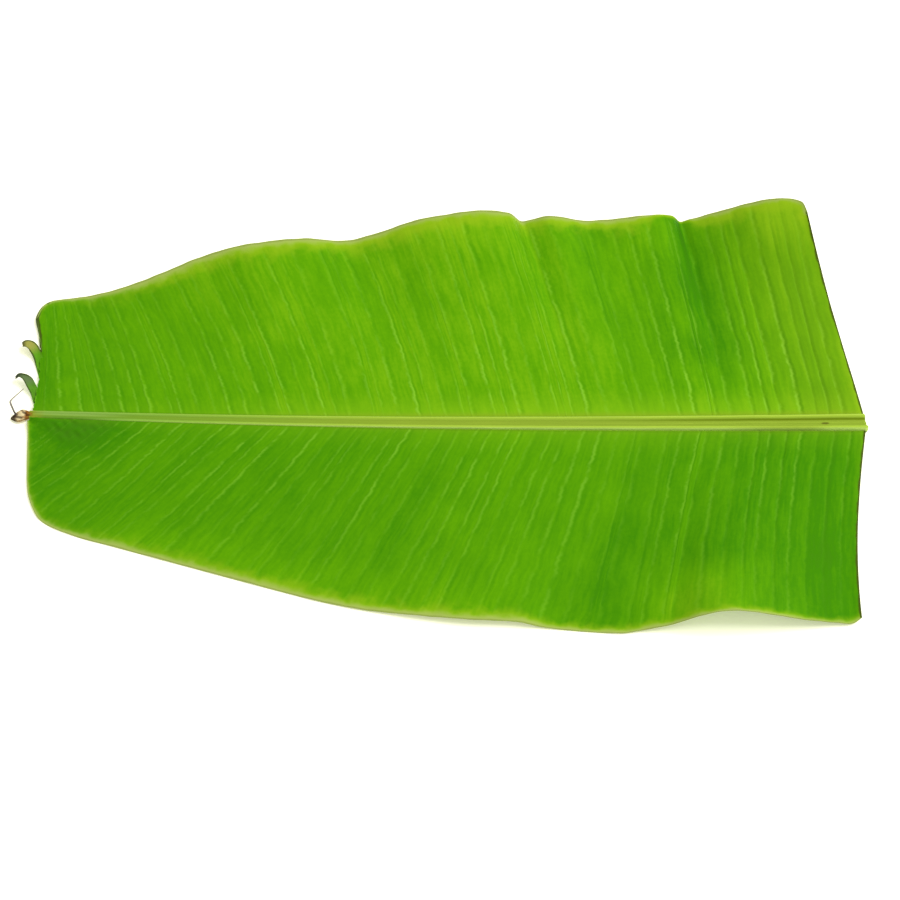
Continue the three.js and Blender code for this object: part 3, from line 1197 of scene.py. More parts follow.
@dataclass(frozen=True)
class LeafFrame:
    """Place of the leaf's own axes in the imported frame."""

    origin: np.ndarray

    def place(self, points: np.ndarray) -> np.ndarray:
        """Points of the leaf in metres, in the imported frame."""
        return points * MM + self.origin

    def piece(self, name: str, skin: Skin, materials: Sequence[bpy.types.Material],
              slot: Slot, *nodes: str) -> bpy.types.Object:
        """Makes a skin into a piece that rides on the leaf.

        Args:
            name: Name of the piece.
            skin: Its mesh.
            materials: Its materials, in the order of the skin's finish places.
            slot: Material slot of the record; not used.
            nodes: Nodes of the frame that it stands for.

        Returns:
            The piece.
        """
        mesh = bpy.data.meshes.new(name)
        mesh.from_pydata(self.place(skin.points).tolist(), [], skin.faces)
        for label, values in skin.marks.items():
            mark = mesh.attributes.new(label, "FLOAT_VECTOR", "POINT")
            mark.data.foreach_set("vector", values.astype(np.float32).ravel())
        if skin.bake_corners is not None:
            corners = mesh.uv_layers.new(name=BAKE_MAP)
            corners.data.foreach_set("uv", skin.bake_corners.astype(np.float32).ravel())
        for material in materials:
            mesh.materials.append(material)
        mesh.polygons.foreach_set("material_index", skin.finish_places)
        mesh.shade_smooth()
        mesh.set_sharp_from_angle(angle=SHARP_ANGLE)
        mesh.validate()
        piece = bpy.data.objects.new(name, mesh)
        bpy.context.scene.collection.objects.link(piece)
        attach(piece, BODY)
        if nodes:
            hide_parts(*nodes)
        LOG.info("%s: %d points, %d faces", name, len(mesh.vertices), len(mesh.polygons))
        return piece


def grid_quads(columns: int, rows: int, first: int, flip: bool) -> np.ndarray:
    """Quads over a grid of points that are listed column by column.

    Args:
        columns: Number of columns.
        rows: Points in a column.
        first: Place of the grid's first point.
        flip: Whether the quads turn the other way.

    Returns:
        Four points to a row.
    """
    i, j = np.meshgrid(np.arange(columns - 1), np.arange(rows - 1), indexing="ij")
    corner = (first + i * rows + j).reshape(-1, 1)
    quads = corner + np.array([0, rows, rows + 1, 1])
    return quads[:, ::-1] if flip else quads


def tube_faces(rings: int, size: int) -> list[list[int]]:
    """Faces of a skin over rings of points, with closed ends.

    The rings turn to the right as seen from the last one.

    Args:
        rings: Number of rings.
        size: Points in a ring.

    Returns:
        Quads between the rings, then a face over the first ring and one over the last.
    """
    sides = [
        [i * size + k, (i + 1) * size + k, (i + 1) * size + (k + 1) % size, i * size + (k + 1) % size]
        for i in range(rings - 1)
        for k in range(size)
    ]
    last = (rings - 1) * size
    return sides + [list(range(size)), list(range(last + size - 1, last - 1, -1))]


@dataclass
class Midrib:
    """Midrib: a channelled rib from the withered tip to the cut end."""

    length: float = 688.0
    overhang: float = 1.5
    sway: float = 12.4
    sway_power: float = 2.5
    tip: RibSection = RibSection(half_width=3.4, depth=4.2, keel=1.2)
    cut: RibSection = RibSection(half_width=7.2, depth=16.5, keel=0.0)
    keel_lift_end: float = 0.5
    seat: float = 0.7
    stations: int = 460
    side_points: int = 34
    cut_bevel: float = 0.5
    cut_slant: float = 2.0
    cut_slant_reach: float = 14.0
    ridge_height: float = 0.06
    ridge_offset: float = -0.06
    ridge_width: float = 0.11
    ridge_run: Pair = (0.3, 0.9)
    top_from: float = 0.5
    unevenness: float = 0.012
    uneven_lengths: tuple[float, ...] = (37.0, 61.0, 103.0)
    seed: int = 11
    # Right side of the section, in shares of half the width and of the depth, from the channel to the keel
    section: Rows = (
        (0.0, 0.8), (0.2, 0.8), (0.4, 0.845), (0.54, 0.93), (0.68, 0.995), (0.8, 1.0), (0.92, 0.955),
        (0.99, 0.87), (1.0, 0.76), (1.0, 0.64), (0.92, 0.47), (0.82, 0.32), (0.69, 0.18), (0.55, 0.08),
        (0.42, 0.02), (0.3, 0.0), (0.15, 0.0), (0.0, 0.0),
    )

    def along(self, x: np.ndarray) -> np.ndarray:
        """Share of the length at x."""
        return np.clip(x / self.length, 0.0, 1.0)

    def axis_y(self, x: np.ndarray) -> np.ndarray:
        """Middle of the midrib across the leaf at x."""
        return self.sway * (1.0 - self.along(x)) ** self.sway_power

    def half_width(self, x: np.ndarray) -> np.ndarray:
        """Half the width at x."""
        return blend(self.tip.half_width, self.cut.half_width, self.along(x))

    def depth(self, x: np.ndarray) -> np.ndarray:
        """Depth at x."""
        return blend(self.tip.depth, self.cut.depth, self.along(x))

    def keel(self, x: np.ndarray) -> np.ndarray:
        """Height of the keel off the table at x."""
        return blend(self.tip.keel, self.cut.keel, smooth(self.along(x), 0.0, self.keel_lift_end))

    def seat_height(self, x: np.ndarray) -> np.ndarray:
        """Height at which the blade leaves the midrib at x."""
        return self.keel(x) + self.seat * self.depth(x)

    def outline(self) -> np.ndarray:
        """Closed outline of the section, from the channel to the right and under the keel.

        Returns:
            Shares of half the width and of the depth.
        """
        knots = np.array(self.section)
        run = lengths_along(knots)
        rows = tuple(map(tuple, np.column_stack([run, knots])))
        right = through(rows, np.linspace(0.0, run[-1], self.side_points))
        right[:, 1] = np.maximum(right[:, 1], 0.0)
        left = right[-2:0:-1] * np.array([-1.0, 1.0])
        return np.concatenate([right, left])

    def skin(self) -> Skin:
        """Lofts the outline along the midrib.

        Returns:
            Skin with the pith's face last, marked with x, the share across and the share up.
        """
        draw = np.random.default_rng(self.seed)
        ends = (-self.overhang, self.length + self.overhang)
        x = np.append(np.linspace(ends[0], ends[1] - self.cut_bevel, self.stations), ends[1])
        outline = self.outline()
        size = len(outline)
        across = np.tile(outline[:, 0], (len(x), 1))
        up = np.tile(outline[:, 1], (len(x), 1))
        top = up > self.top_from
        grown = smooth(self.along(x), *self.ridge_run)[:, None]
        ridge = bell(across, self.ridge_offset, self.ridge_width) * top
        wander = ripple(x, self.uneven_lengths, draw)[:, None]
        up_shape = up + self.ridge_height * grown * ridge + self.unevenness * wander * top
        inset = np.ones(len(x))
        inset[-1] = 1.0 - self.cut_bevel / self.cut.half_width
        y = self.axis_y(x)[:, None] + across * (self.half_width(x) * inset)[:, None]
        height = up_shape * inset[:, None] + (1 - inset[:, None]) / 2
        z = self.keel(x)[:, None] + height * self.depth(x)[:, None]
        slanted = smooth(x, ends[1] - self.cut_slant_reach, ends[1])[:, None] * (0.5 + 0.5 * across)
        run = x[:, None] - self.cut_slant * slanted
        points = np.stack([run, y, z], axis=-1).reshape(-1, 3)
        marks = np.stack([run, across, up], axis=-1).reshape(-1, 3)
        faces = tube_faces(len(x), size)
        places = [0] * (len(faces) - 1) + [1]
        return Skin(points, faces, places, {"rib_place": marks})

    def build(self, leaf: LeafFrame, effects: Effects) -> bpy.types.Object:
        """Makes the midrib's piece."""
        materials = [MIDRIB_SKIN.material(effects), PITH.material(effects)]
        return leaf.piece("midrib_channelled", self.skin(), materials, Slot.MIDRIB, "midrib")


@dataclass(frozen=True)
class Band:
    """Paler or deeper band of the blade along its veins, with a soft edge all round: partly the leaf's own
    tone and partly painted light and shade.
    """

    root: float
    width: float
    tone: float
    start: float = -0.4
    end: float = 1.4
    softness: float = 0.25

    def over(self, root: np.ndarray, along: np.ndarray) -> np.ndarray:
        """Tone that the band adds.

        Args:
            root: x at which each vein leaves the midrib.
            along: Shares of the veins' run.

        Returns:
            Tones by vein and share.
        """
        sideways = bell(root, self.root, self.width)
        inside = smooth(along, self.start, self.start + self.softness)
        inside = inside * (1.0 - smooth(along, self.end - self.softness, self.end))
        return self.tone * sideways[:, None] * inside[None, :]


@dataclass(frozen=True)
class Crease:
    """Sharp fold of the blade along a vein, deepest at the margin."""

    root: float
    width: float
    depth: float
    rise_power: float = 1.5

    def over(self, root: np.ndarray, along: np.ndarray) -> np.ndarray:
        """Depth of the fold, by vein and share of the run."""
        sideways = bell(root, self.root, self.width)
        return self.depth * sideways[:, None] * (along ** self.rise_power)[None, :]


@dataclass(frozen=True)
class Wrinkles:
    """Patch of small wrinkles on the blade beside the midrib, with painted shade in their hollows and painted
    light on their tops.
    """

    root: float
    width: float
    height: float
    end: float
    lengths: tuple[float, ...] = (6.1, 7.3, 9.0, 12.0)
    start: float = 0.08
    full_to: float = 0.5
    # Share of the wrinkles' height added to the tone: painted shade in their hollows, painted light on their
    # tops.
    tone: float = 0.22

    def over(self, root: np.ndarray, along: np.ndarray) -> np.ndarray:
        """Height that the wrinkles reach.

        Args:
            root: x at which each vein leaves the midrib.
            along: Shares of the veins' run.

        Returns:
            Heights by vein and share.
        """
        sideways = bell(root, self.root, self.width)
        inside = smooth(along, 0.0, self.start) * (1.0 - smooth(along, self.full_to * self.end, self.end))
        return self.height * sideways[:, None] * inside[None, :]


@dataclass
class BladeHalf:
    """Half of the blade, lofted along its veins from the midrib to the waved margin."""

    name: str
    node: str
    half: Half
    midrib: Midrib
    guides: Rows
    bands: Sequence[Band]
    ground_tone: float
    seed: int
    creases: Sequence[Crease] = ()
    torn_from: float | None = None
    wrinkles: Wrinkles | None = None
    placed_veins: tuple[tuple[int, float], ...] = ()
    veins: int = 54
    vein_jitter: float = 0.34
    strength_range: Pair = (0.45, 1.0)
    vein_sway: float = 0.07
    sway_step: float = 6.0
    sway_run: float = 180.0
    sway_lengths: tuple[float, ...] = (19.0, 26.0, 37.0, 53.0)
    rows: int = 62
    row_crowding: float = 0.55
    thickness: float = 0.6
    solid_thickness: float = 1.0
    rim_thickness: float = 0.85
    rim_reach: float = 1.3
    tuck: float = 0.7
    fall: float = 0.75
    lift_power: float = 1.8
    raised_relief: float = 0.3
    furrow_depth: float = 0.8
    arch_share: float = 0.4
    fine_share: float = 0.3
    furrowed_from: float = 450.0
    furrowed_to: float = 650.0
    vein_width: float = 0.1
    fade_power: float = 4.0
    rumple_height: float = 0.45
    rumple_lengths: tuple[float, ...] = (38.0, 52.0, 67.0, 91.0)
    rumple_run: Pair = (0.02, 0.3)
    margin_ripple: float = 0.9
    margin_ripple_reach: float = 14.0
    margin_ripple_lengths: tuple[float, ...] = (17.0, 27.0, 41.0)
    tear_depth: float = 1.4
    tear_offset: float = 0.3
    tear_fading: float = 4.0
    tear_lengths: tuple[float, ...] = (3.1, 5.3, 9.7, 16.0)
    # x of a vein's root with the factor by which the dry margin is narrower there
    margin_narrowing: Rows = ((0.0, 1.0), (700.0, 1.0))
    open_share: float = 1.0
    open_from: float = 60.0
    open_to: float = 380.0
    lowest: float = 0.48
    # Places of the columns between one vein and the next, close together at the veins
    columns: tuple[float, ...] = (0.0, 0.04, 0.09, 0.16, 0.26, 0.38, 0.5, 0.62, 0.74, 0.84, 0.91, 0.96)
    # Flat map of the faces: blank edge, height of a face, start of the underside, and rows of the rim
    map_edge: float = 0.005
    map_height: float = 0.48
    map_under: float = 0.51
    map_rim: Pair = (0.492, 0.508)

    def __post_init__(self) -> None:
        """Draws where the veins leave the midrib and how strong each one is."""
        draw = np.random.default_rng(self.seed)
        first, last = self.guides[0][0], self.guides[-1][0]
        pitch = (last - first) / self.veins
        even = np.linspace(first, last, self.veins + 1)
        even[1:-1] += draw.uniform(-self.vein_jitter, self.vein_jitter, self.veins - 1) * pitch
        for vein, root in self.placed_veins:
            even[vein] = root
        self.vein_roots = even
        self.vein_strengths = draw.uniform(*self.strength_range, self.veins + 1)
        self.draw = draw

    def column_phases(self) -> np.ndarray:
        """Places of the columns, counted in veins from the tip."""
        steps = np.arange(self.veins)[:, None] + np.array(self.columns)[None, :]
        return np.append(steps.ravel(), float(self.veins))

    def row_shares(self) -> np.ndarray:
        """Shares of a vein's run, closer together at the root and at the margin."""
        even = np.linspace(0.0, 1.0, self.rows)
        return blend(even, 0.5 - 0.5 * np.cos(math.pi * even), self.row_crowding)

    def middle(self, root: np.ndarray, along: np.ndarray) -> np.ndarray:
        """Middle of the blade's thickness, without its ribs.

        Args:
            root: x at which each vein leaves the midrib.
            along: Shares of the veins' run.

        Returns:
            Points by vein and share.
        """
        margin_x, margin_y, lift, bow = through(self.guides, root).T[:, :, None]
        t = along[None, :]
        rib, side = self.midrib, self.half.value
        root_y = (rib.axis_y(root) + side * (rib.half_width(root) - self.tuck))[:, None]
        x = blend(root[:, None], margin_x, t) + bow * 4.0 * t * (1.0 - t)
        y = blend(root_y, margin_y, t)
        z = rib.seat_height(root)[:, None] * (1.0 - smooth(t, 0.0, self.fall))
        z = z + np.maximum(lift, 0.0) * t ** self.lift_power + self.solid_thickness / 2
        return np.stack([x, y, z], axis=-1)

    def swayed(self, phase: np.ndarray, along: np.ndarray) -> np.ndarray:
        """Places counted in veins, with the slight sway of the veins along their run.

        Args:
            phase: Places of the columns, counted in veins.
            along: Shares of the run.

        Returns:
            Places by column and row.
        """
        across, run = np.meshgrid(phase * self.sway_step, along * self.sway_run, indexing="ij")
        sway = rumple(across, run, self.sway_lengths, np.random.default_rng(self.seed))
        return phase[:, None] + self.vein_sway * sway

    def ribs(self, veins: np.ndarray, root: np.ndarray, along: np.ndarray) -> np.ndarray:
        """Height of the veins: raised towards the tip, sunk between arched strips towards the cut end.

        Args:
            veins: Places counted in veins, by column and row.
            root: x of each column's root.
            along: Shares of the run.

        Returns:
            Heights by column and row.
        """
        vein = bell(veins, np.round(veins), self.vein_width)
        arched = 0.5 - 0.5 * np.cos(2 * math.pi * veins)
        strength = np.interp(veins, np.arange(self.veins + 1), self.vein_strengths)
        furrowed = smooth(root, self.furrowed_from, self.furrowed_to)[:, None]
        between = bell(veins, np.floor(veins) + 0.5, self.vein_width)
        sunk = self.furrow_depth * (self.arch_share * arched - vein - self.fine_share * between)
        profile = blend(self.raised_relief * vein, sunk, furrowed)
        return profile * strength * (1.0 - along ** self.fade_power)[None, :]

    def tones(self, phase: np.ndarray, along: np.ndarray) -> np.ndarray:
        """Tone of the blade, from -2 where it is dullest to 1 where it is palest, partly painted light and
        shade.

        Args:
            phase: Places of the columns, counted in veins.
            along: Shares of the run.

        Returns:
            Tones by column and row.
        """
        root = np.interp(phase, np.arange(self.veins + 1), self.vein_roots)
        tones = self.ground_tone + sum(band.over(root, along) for band in self.bands)
        # The wrinkles add painted shade in their hollows and painted light on their tops.
        return tones if self.wrinkles is None else tones + self.wrinkles.tone * self.wrinkled

    def surface(self, phase: np.ndarray, along: np.ndarray) -> np.ndarray:
        """Middle of the blade's thickness with its ribs, rumples, rippled margin and torn edge.

        Args:
            phase: Places of the columns, counted in veins.
            along: Shares of the run.

        Returns:
            Points by column and row.
        """
        root = np.interp(phase, np.arange(self.veins + 1), self.vein_roots)
        points = self.middle(root, along)
        points[..., 2] += self.ribs(self.swayed(phase, along), root, along)
        for crease in self.creases:
            points[..., 2] -= crease.over(root, along)
        if self.wrinkles is not None:
            folds = rumple(points[..., 0], points[..., 1], self.wrinkles.lengths, self.draw)
            self.wrinkled = folds * self.wrinkles.over(root, along)
            points[..., 2] += self.wrinkled
        uneven = rumple(points[..., 0], points[..., 1], self.rumple_lengths, self.draw)
        points[..., 2] += self.rumple_height * uneven * smooth(along, *self.rumple_run)[None, :]
        run = lengths_along(points[:, -1])
        length = np.linalg.norm(points[:, -1] - points[:, 0], axis=1)
        near = np.exp(-(1.0 - along)[None, :] * length[:, None] / self.margin_ripple_reach)
        waves = 0.5 + 0.5 * ripple(run, self.margin_ripple_lengths, self.draw)
        points[..., 2] += self.margin_ripple * waves[:, None] * near
        if self.torn_from is not None:
            fading = np.exp(-phase * self.tear_fading)[:, None]
            points[..., 0] += self.tear(points[0, :, 1])[None, :] * fading
        points[..., 2] = np.maximum(points[..., 2], self.lowest)
        return points

    def tear(self, y: np.ndarray) -> np.ndarray:
        """Ragged depth of the torn edge across the leaf at y."""
        notches = ripple(y, self.tear_lengths, self.draw)
        return self.tear_depth * (np.abs(notches) - self.tear_offset)

    def skin(self) -> Skin:
        """Gives the surface its thickness, its rim and its marks.

        Returns:
            Skin of the upper face, the underside and the rim, marked with vein, run and edges.
        """
        phase, along = self.column_phases(), self.row_shares()
        middle = self.surface(phase, along)
        columns, rows = middle.shape[:2]
        flat = middle.reshape(-1, 3)
        margin = distance_to_line(flat, middle[:, -1])
        cut = distance_to_line(flat, middle[-1])
        if self.torn_from is not None:
            torn = middle[0][middle[0][:, 1] > self.torn_from]
            cut = np.minimum(cut, distance_to_line(flat, torn))
        half = 0.5 * blend(self.rim_thickness, self.thickness, smooth(margin, 0.0, self.rim_reach))
        lift = np.stack([np.zeros_like(half), np.zeros_like(half), half], axis=1)
        points = np.concatenate([flat + lift, flat - lift])
        flip = self.half is Half.LEFT
        count = columns * rows
        upper = grid_quads(columns, rows, 0, flip)
        under = grid_quads(columns, rows, count, not flip)
        rim = self.rim_quads(columns, rows, count, flip)
        faces = np.concatenate([upper, under, rim])
        places = np.repeat([Face.UPPER.value, Face.UNDER.value, Face.RIM.value],
                           [len(upper), len(under), len(rim)])
        root = np.interp(phase, np.arange(self.veins + 1), self.vein_roots)
        open_share = np.repeat(self.open_share * smooth(root, self.open_from, self.open_to), rows)
        vein = np.stack([self.swayed(phase, along).ravel(), np.tile(along, columns), open_share], axis=1)
        drying = margin * np.repeat(through(self.margin_narrowing, root)[:, 0], rows)
        edge = np.stack([drying, cut, self.tones(phase, along).ravel()], axis=1)
        marks = {"leaf_place": np.concatenate([vein, vein]), "leaf_edge": np.concatenate([edge, edge])}
        corners = self.bake_corners(points, faces, len(upper) + len(under), len(rim))
        return Skin(points, faces.tolist(), places.tolist(), marks, corners)

    def rim_quads(self, columns: int, rows: int, count: int, flip: bool) -> np.ndarray:
        """Quads that close the rim between the upper face and the underside.

        Args:
            columns: Columns of the grid.
            rows: Points in a column.
            count: Points on one face.
            flip: Whether the quads turn the other way.

        Returns:
            Four points to a row.
        """
        last = (columns - 1) * rows
        up = np.arange(rows)
        over = np.arange(1, columns) * rows + rows - 1
        down = last + np.arange(rows - 2, -1, -1)
        back = np.arange(columns - 2, 0, -1) * rows
        loop = np.concatenate([up, over, down, back])
        ahead = np.roll(loop, -1)
        quads = np.stack([loop, ahead, ahead + count, loop + count], axis=1)
        return quads[:, ::-1] if flip else quads

    def bake_corners(self, points: np.ndarray, faces: np.ndarray, sheets: int, rim: int) -> np.ndarray:
        """Flat map of the faces: upper face and underside one over the other, with the rim between them.

        Args:
            points: Points of the skin.
            faces: Its quads.
            sheets: Quads of the upper face and the underside together.
            rim: Quads of the rim.

        Returns:
            Place on the map for each corner of each quad.
        """
        low, high = points[:, :2].min(0), points[:, :2].max(0)
        share = (points[:, :2] - low) / (high - low)
        halfway = len(points) // 2
        span = np.array([1.0 - 2.0 * self.map_edge, self.map_height])
        flat = self.map_edge + span * share
        flat[halfway:, 1] += self.map_under
        corners = flat[faces[:sheets]].reshape(-1, 2)
        k = np.arange(rim)[:, None]
        across = self.map_edge + span[0] * (k + np.array([0, 1, 1, 0])) / rim
        up = np.broadcast_to(np.repeat(self.map_rim, 2), across.shape)
        return np.concatenate([corners, np.stack([across, up], axis=-1).reshape(-1, 2)])

    def build(self, leaf: LeafFrame, finishes: Sequence[bpy.types.Material]) -> bpy.types.Object:
        """Makes the half's piece."""
        return leaf.piece(self.name, self.skin(), finishes, Slot.BLADE, self.node)


@dataclass
class TornLobe:
    """Strip torn from the tip of the right half, with a curled end."""

    name: str
    run: Rows
    twist: float
    seed: int
    stations: int = 60
    across_points: int = 15
    thickness: float = 0.6
    edge_thickness: float = 0.3
    curl: float = 0.16
    least_curl: float = 0.2
    curl_run: Pair = (0.3, 1.0)
    twist_run: Pair = (0.55, 1.0)
    wave: float = 0.35
    wave_run: float = 60.0
    wave_lengths: tuple[float, ...] = (7.0, 11.0, 17.0)
    edge_power: int = 4

    def skin(self) -> Skin:
        """Sweeps a curled section along the strip.

        Returns:
            Skin marked with the share along, the share across and the distance to the edge.
        """
        draw = np.random.default_rng(self.seed)
        share = np.linspace(0.0, 1.0, self.stations)
        x, y, z, width = through(self.run, share).T
        centre = np.stack([x, y, z], axis=1)
        level, rise = cross_axes(centre)
        angle = (self.twist * smooth(share, *self.twist_run))[:, None]
        across = level * np.cos(angle) + rise * np.sin(angle)
        normal = rise * np.cos(angle) - level * np.sin(angle)
        out = np.linspace(-1.0, 1.0, self.across_points)
        curling = self.least_curl + smooth(share, *self.curl_run)[:, None]
        bent = self.curl * out ** 2 * curling * width[:, None]
        waves = ripple(share * self.wave_run, self.wave_lengths, draw)[:, None]
        uneven = self.wave * waves * out[None, :] ** 2
        lift = (bent + uneven)[..., None] * normal[:, None, :]
        aside = 0.5 * width[:, None, None] * out[None, :, None] * across[:, None, :]
        middle = centre[:, None, :] + aside + lift
        thickness = blend(self.thickness, self.edge_thickness, out ** self.edge_power)
        half = 0.5 * thickness[None, :, None] * normal[:, None, :]
        top, under = middle + half, middle - half
        ring = np.concatenate([top[:, ::-1], under], axis=1)
        size = ring.shape[1]
        spread = np.concatenate([out[::-1], out])
        along = np.repeat(share, size)
        edge = (0.5 * width[:, None] * (1.0 - np.abs(spread))[None, :]).ravel()
        marks = np.stack([along, np.tile(spread, self.stations), edge], axis=1)
        faces = tube_faces(self.stations, size)
        return Skin(ring.reshape(-1, 3), faces, [0] * len(faces), {"lobe_place": marks})

    def build(self, leaf: LeafFrame, finish: bpy.types.Material) -> bpy.types.Object:
        """Makes the lobe's piece."""
        return leaf.piece(self.name, self.skin(), [finish], Slot.BLADE)


@dataclass
class WitheredTip:
    """Shrivelled end of the midrib, with the fibre that hangs on it."""

    run: Rows = WITHERED_RUN
    fibre_run: Rows = FIBRE_RUN
    stations: int = 64
    sides: int = 56
    folds: tuple[int, ...] = (3, 5, 8)
    fold_depth: float = 0.17
    fold_drift: float = 5.0
    fold_turn: float = 3.0
    fold_run: Pair = (0.05, 0.35)
    fibre_stations: int = 70
    fibre_sides: int = 10
    seed: int = 5

    def tip_skin(self) -> Skin:
        """Sweeps a folded ring along the tip.

        Returns:
            Skin marked with the share along, the angle around and the height on the folds.
        """
        draw = np.random.default_rng(self.seed)
        share = np.linspace(0.0, 1.0, self.stations)
        x, y, z, half_width, half_height = (row[:, None] for row in through(self.run, share).T)
        angle = np.linspace(0.0, 2 * math.pi, self.sides, endpoint=False)[None, :]
        fold = np.zeros((self.stations, self.sides))
        for count, phase in zip(self.folds, draw.uniform(0, 2 * math.pi, len(self.folds))):
            drift = self.fold_drift * np.sin(self.fold_turn * share + phase)[:, None]
            fold += np.cos(count * angle + drift + phase) / len(self.folds)
        size = 1.0 + self.fold_depth * fold * smooth(share, *self.fold_run)[:, None]
        points = np.stack([
            np.broadcast_to(x, fold.shape),
            y - half_width * size * np.sin(angle),
            z + half_height * size * np.cos(angle),
        ], axis=-1).reshape(-1, 3)
        around = np.broadcast_to(np.cos(angle), fold.shape)
        marks = np.stack([np.repeat(share, self.sides), around.ravel(), 0.5 + fold.ravel()], axis=1)
        faces = tube_faces(self.stations, self.sides)
        return Skin(points, faces, [0] * len(faces), {"dry_place": marks})

    def fibre_skin(self) -> Skin:
        """Sweeps a thin round section along the fibre.

        Returns:
            Skin marked as the tip is.
        """
        share = np.linspace(0.0, 1.0, self.fibre_stations)
        x, y, z, radius = through(self.fibre_run, share).T
        centre = np.stack([x, y, z], axis=1)
        level, rise = cross_axes(centre)
        angle = np.linspace(0.0, 2 * math.pi, self.fibre_sides, endpoint=False)[None, :, None]
        spoke = level[:, None, :] * np.sin(-angle) + rise[:, None, :] * np.cos(angle)
        points = (centre[:, None, :] + radius[:, None, None] * spoke).reshape(-1, 3)
        around = np.tile(np.cos(angle).ravel(), self.fibre_stations)
        marks = np.stack([np.repeat(share, self.fibre_sides), around, np.ones(len(points))], axis=1)
        faces = tube_faces(self.fibre_stations, self.fibre_sides)
        return Skin(points, faces, [0] * len(faces), {"dry_place": marks})

    def build(self, leaf: LeafFrame, effects: Effects) -> list[bpy.types.Object]:
        """Makes the pieces of the tip and its fibre.

        Args:
            leaf: Place of the leaf's axes.
            effects: Shared node groups.

        Returns:
            The tip and the fibre.
        """
        brown, grey = WITHERED.material(effects), FIBRE.material(effects)
        tip = leaf.piece("withered_tip", self.tip_skin(), [brown], Slot.WITHERED, "dry_tip")
        fibre = leaf.piece("withered_fibre", self.fibre_skin(), [grey], Slot.WITHERED)
        return [tip, fibre]


@dataclass
class Studio:
    """Pale floor, soft light and the camera."""

    floor_size: float = 9.0
    sky: float = 0.62
    sky_tint: str = "#ffffff"
    key_size: float = 1.8
    key_place: tuple[float, float, float] = (1.9, 0.35, 3.3)
    key_power: float = 122.0
    elevation: float = 62.0
    distance: float = 1.4392
    lens: float = 70.0
    sensor: float = 36.0
    # Point of the leaf at the middle of the picture, in millimetres
    target: tuple[float, float, float] = (347.06, -18.67, 0.0)

    def lay_floor(self, effects: Effects) -> None:
        """Lays the floor under the leaf.

        Args:
            effects: Shared node groups.
        """
        half = self.floor_size / 2
        mesh = bpy.data.meshes.new("floor")
        corners = [(-half, -half, 0.0), (half, -half, 0.0), (half, half, 0.0), (-half, half, 0.0)]
        mesh.from_pydata(corners, [], [(0, 1, 2, 3)])
        mesh.materials.append(FLOOR.material(effects))
        floor = bpy.data.objects.new("floor", mesh)
        bpy.context.scene.collection.objects.link(floor)

    def hang_lights(self) -> None:
        """Sets an even pale sky and a large soft light above and behind the leaf."""
        world = bpy.data.worlds.new("studio")
        world.use_nodes = True
        background = world.node_tree.nodes["Background"].inputs
        background["Strength"].default_value = self.sky
        background["Color"].default_value = srgb(self.sky_tint)
        bpy.context.scene.world = world
        light = bpy.data.lights.new("key", "AREA")
        light.shape = "SQUARE"
        light.size = self.key_size
        light.energy = self.key_power
        key = bpy.data.objects.new("key", light)
        key.location = self.key_place
        key.rotation_euler = (-Vector(self.key_place)).to_track_quat("-Z", "Y").to_euler()
        bpy.context.scene.collection.objects.link(key)

    def set_camera(self, leaf: LeafFrame) -> None:
        """Sets the camera over the near margin, looking down on the leaf.

        Args:
            leaf: Place of the leaf's axes.
        """
        tilt = math.radians(self.elevation)
        back = Vector((0.0, -math.cos(tilt), math.sin(tilt)))
        camera = bpy.data.objects.new("camera", bpy.data.cameras.new("camera"))
        camera.data.lens = self.lens
        camera.data.sensor_width = self.sensor
        camera.location = Vector(leaf.place(np.array(self.target))) + back * self.distance
        camera.rotation_euler = (-back).to_track_quat("-Z", "Y").to_euler()
        bpy.context.scene.collection.objects.link(camera)
        bpy.context.scene.camera = camera

    def build(self, leaf: LeafFrame, effects: Effects) -> None:
        """Builds the studio round the leaf.

        Args:
            leaf: Place of the leaf's axes.
            effects: Shared node groups.
        """
        self.lay_floor(effects)
        self.hang_lights()
        self.set_camera(leaf)
        bpy.context.scene.view_settings.view_transform = "Standard"


# Tone bands of the right half, partly its own tone and partly painted light and shade: the deep bands at
# roots 561 to 574 paint the shade of the fold by the crease at 578, and the pale bands at roots 392 and 660
# are partly painted light on the raised margin crests.
RIGHT_BANDS = (
    Band(root=30, width=130, tone=-0.4),
    Band(root=8, width=15, tone=-0.3, start=-0.2, end=0.9),
    Band(root=415, width=55, tone=0.12),
    Band(root=392, width=34, tone=0.9, start=0.76),
    Band(root=442, width=14, tone=-0.3, start=0.45),
    Band(root=505, width=30, tone=-0.25),
    Band(root=574, width=31, tone=-0.78, start=0.02, end=1.05, softness=0.35),
    Band(root=573, width=7, tone=-0.2, start=0.35, end=1.0, softness=0.3),
    Band(root=574, width=3.4, tone=-1.0, start=0.6, end=2.0, softness=0.35),
    Band(root=561, width=12, tone=-0.5, start=0.82, end=2.0),
    Band(root=302, width=22, tone=-0.35, start=0.5),
    Band(root=655, width=38, tone=-0.35, end=0.9),
    Band(root=660, width=24, tone=0.85, start=0.72),
)
# Tone bands of the left half, partly its own tone and partly painted light and shade: the pale band at root
# 582 is partly painted light on the raised arch of the margin.
LEFT_BANDS = (
    Band(root=40, width=60, tone=-0.35),
    Band(root=48, width=34, tone=-0.7, end=0.6, softness=0.3),
    Band(root=190, width=26, tone=0.25, start=0.72),
    Band(root=320, width=140, tone=0.45, start=0.7),
    Band(root=405, width=35, tone=0.2),
    Band(root=507, width=20, tone=-0.3, start=0.3),
    Band(root=582, width=36, tone=0.95, start=0.6),
    Band(root=660, width=80, tone=-0.42),
)
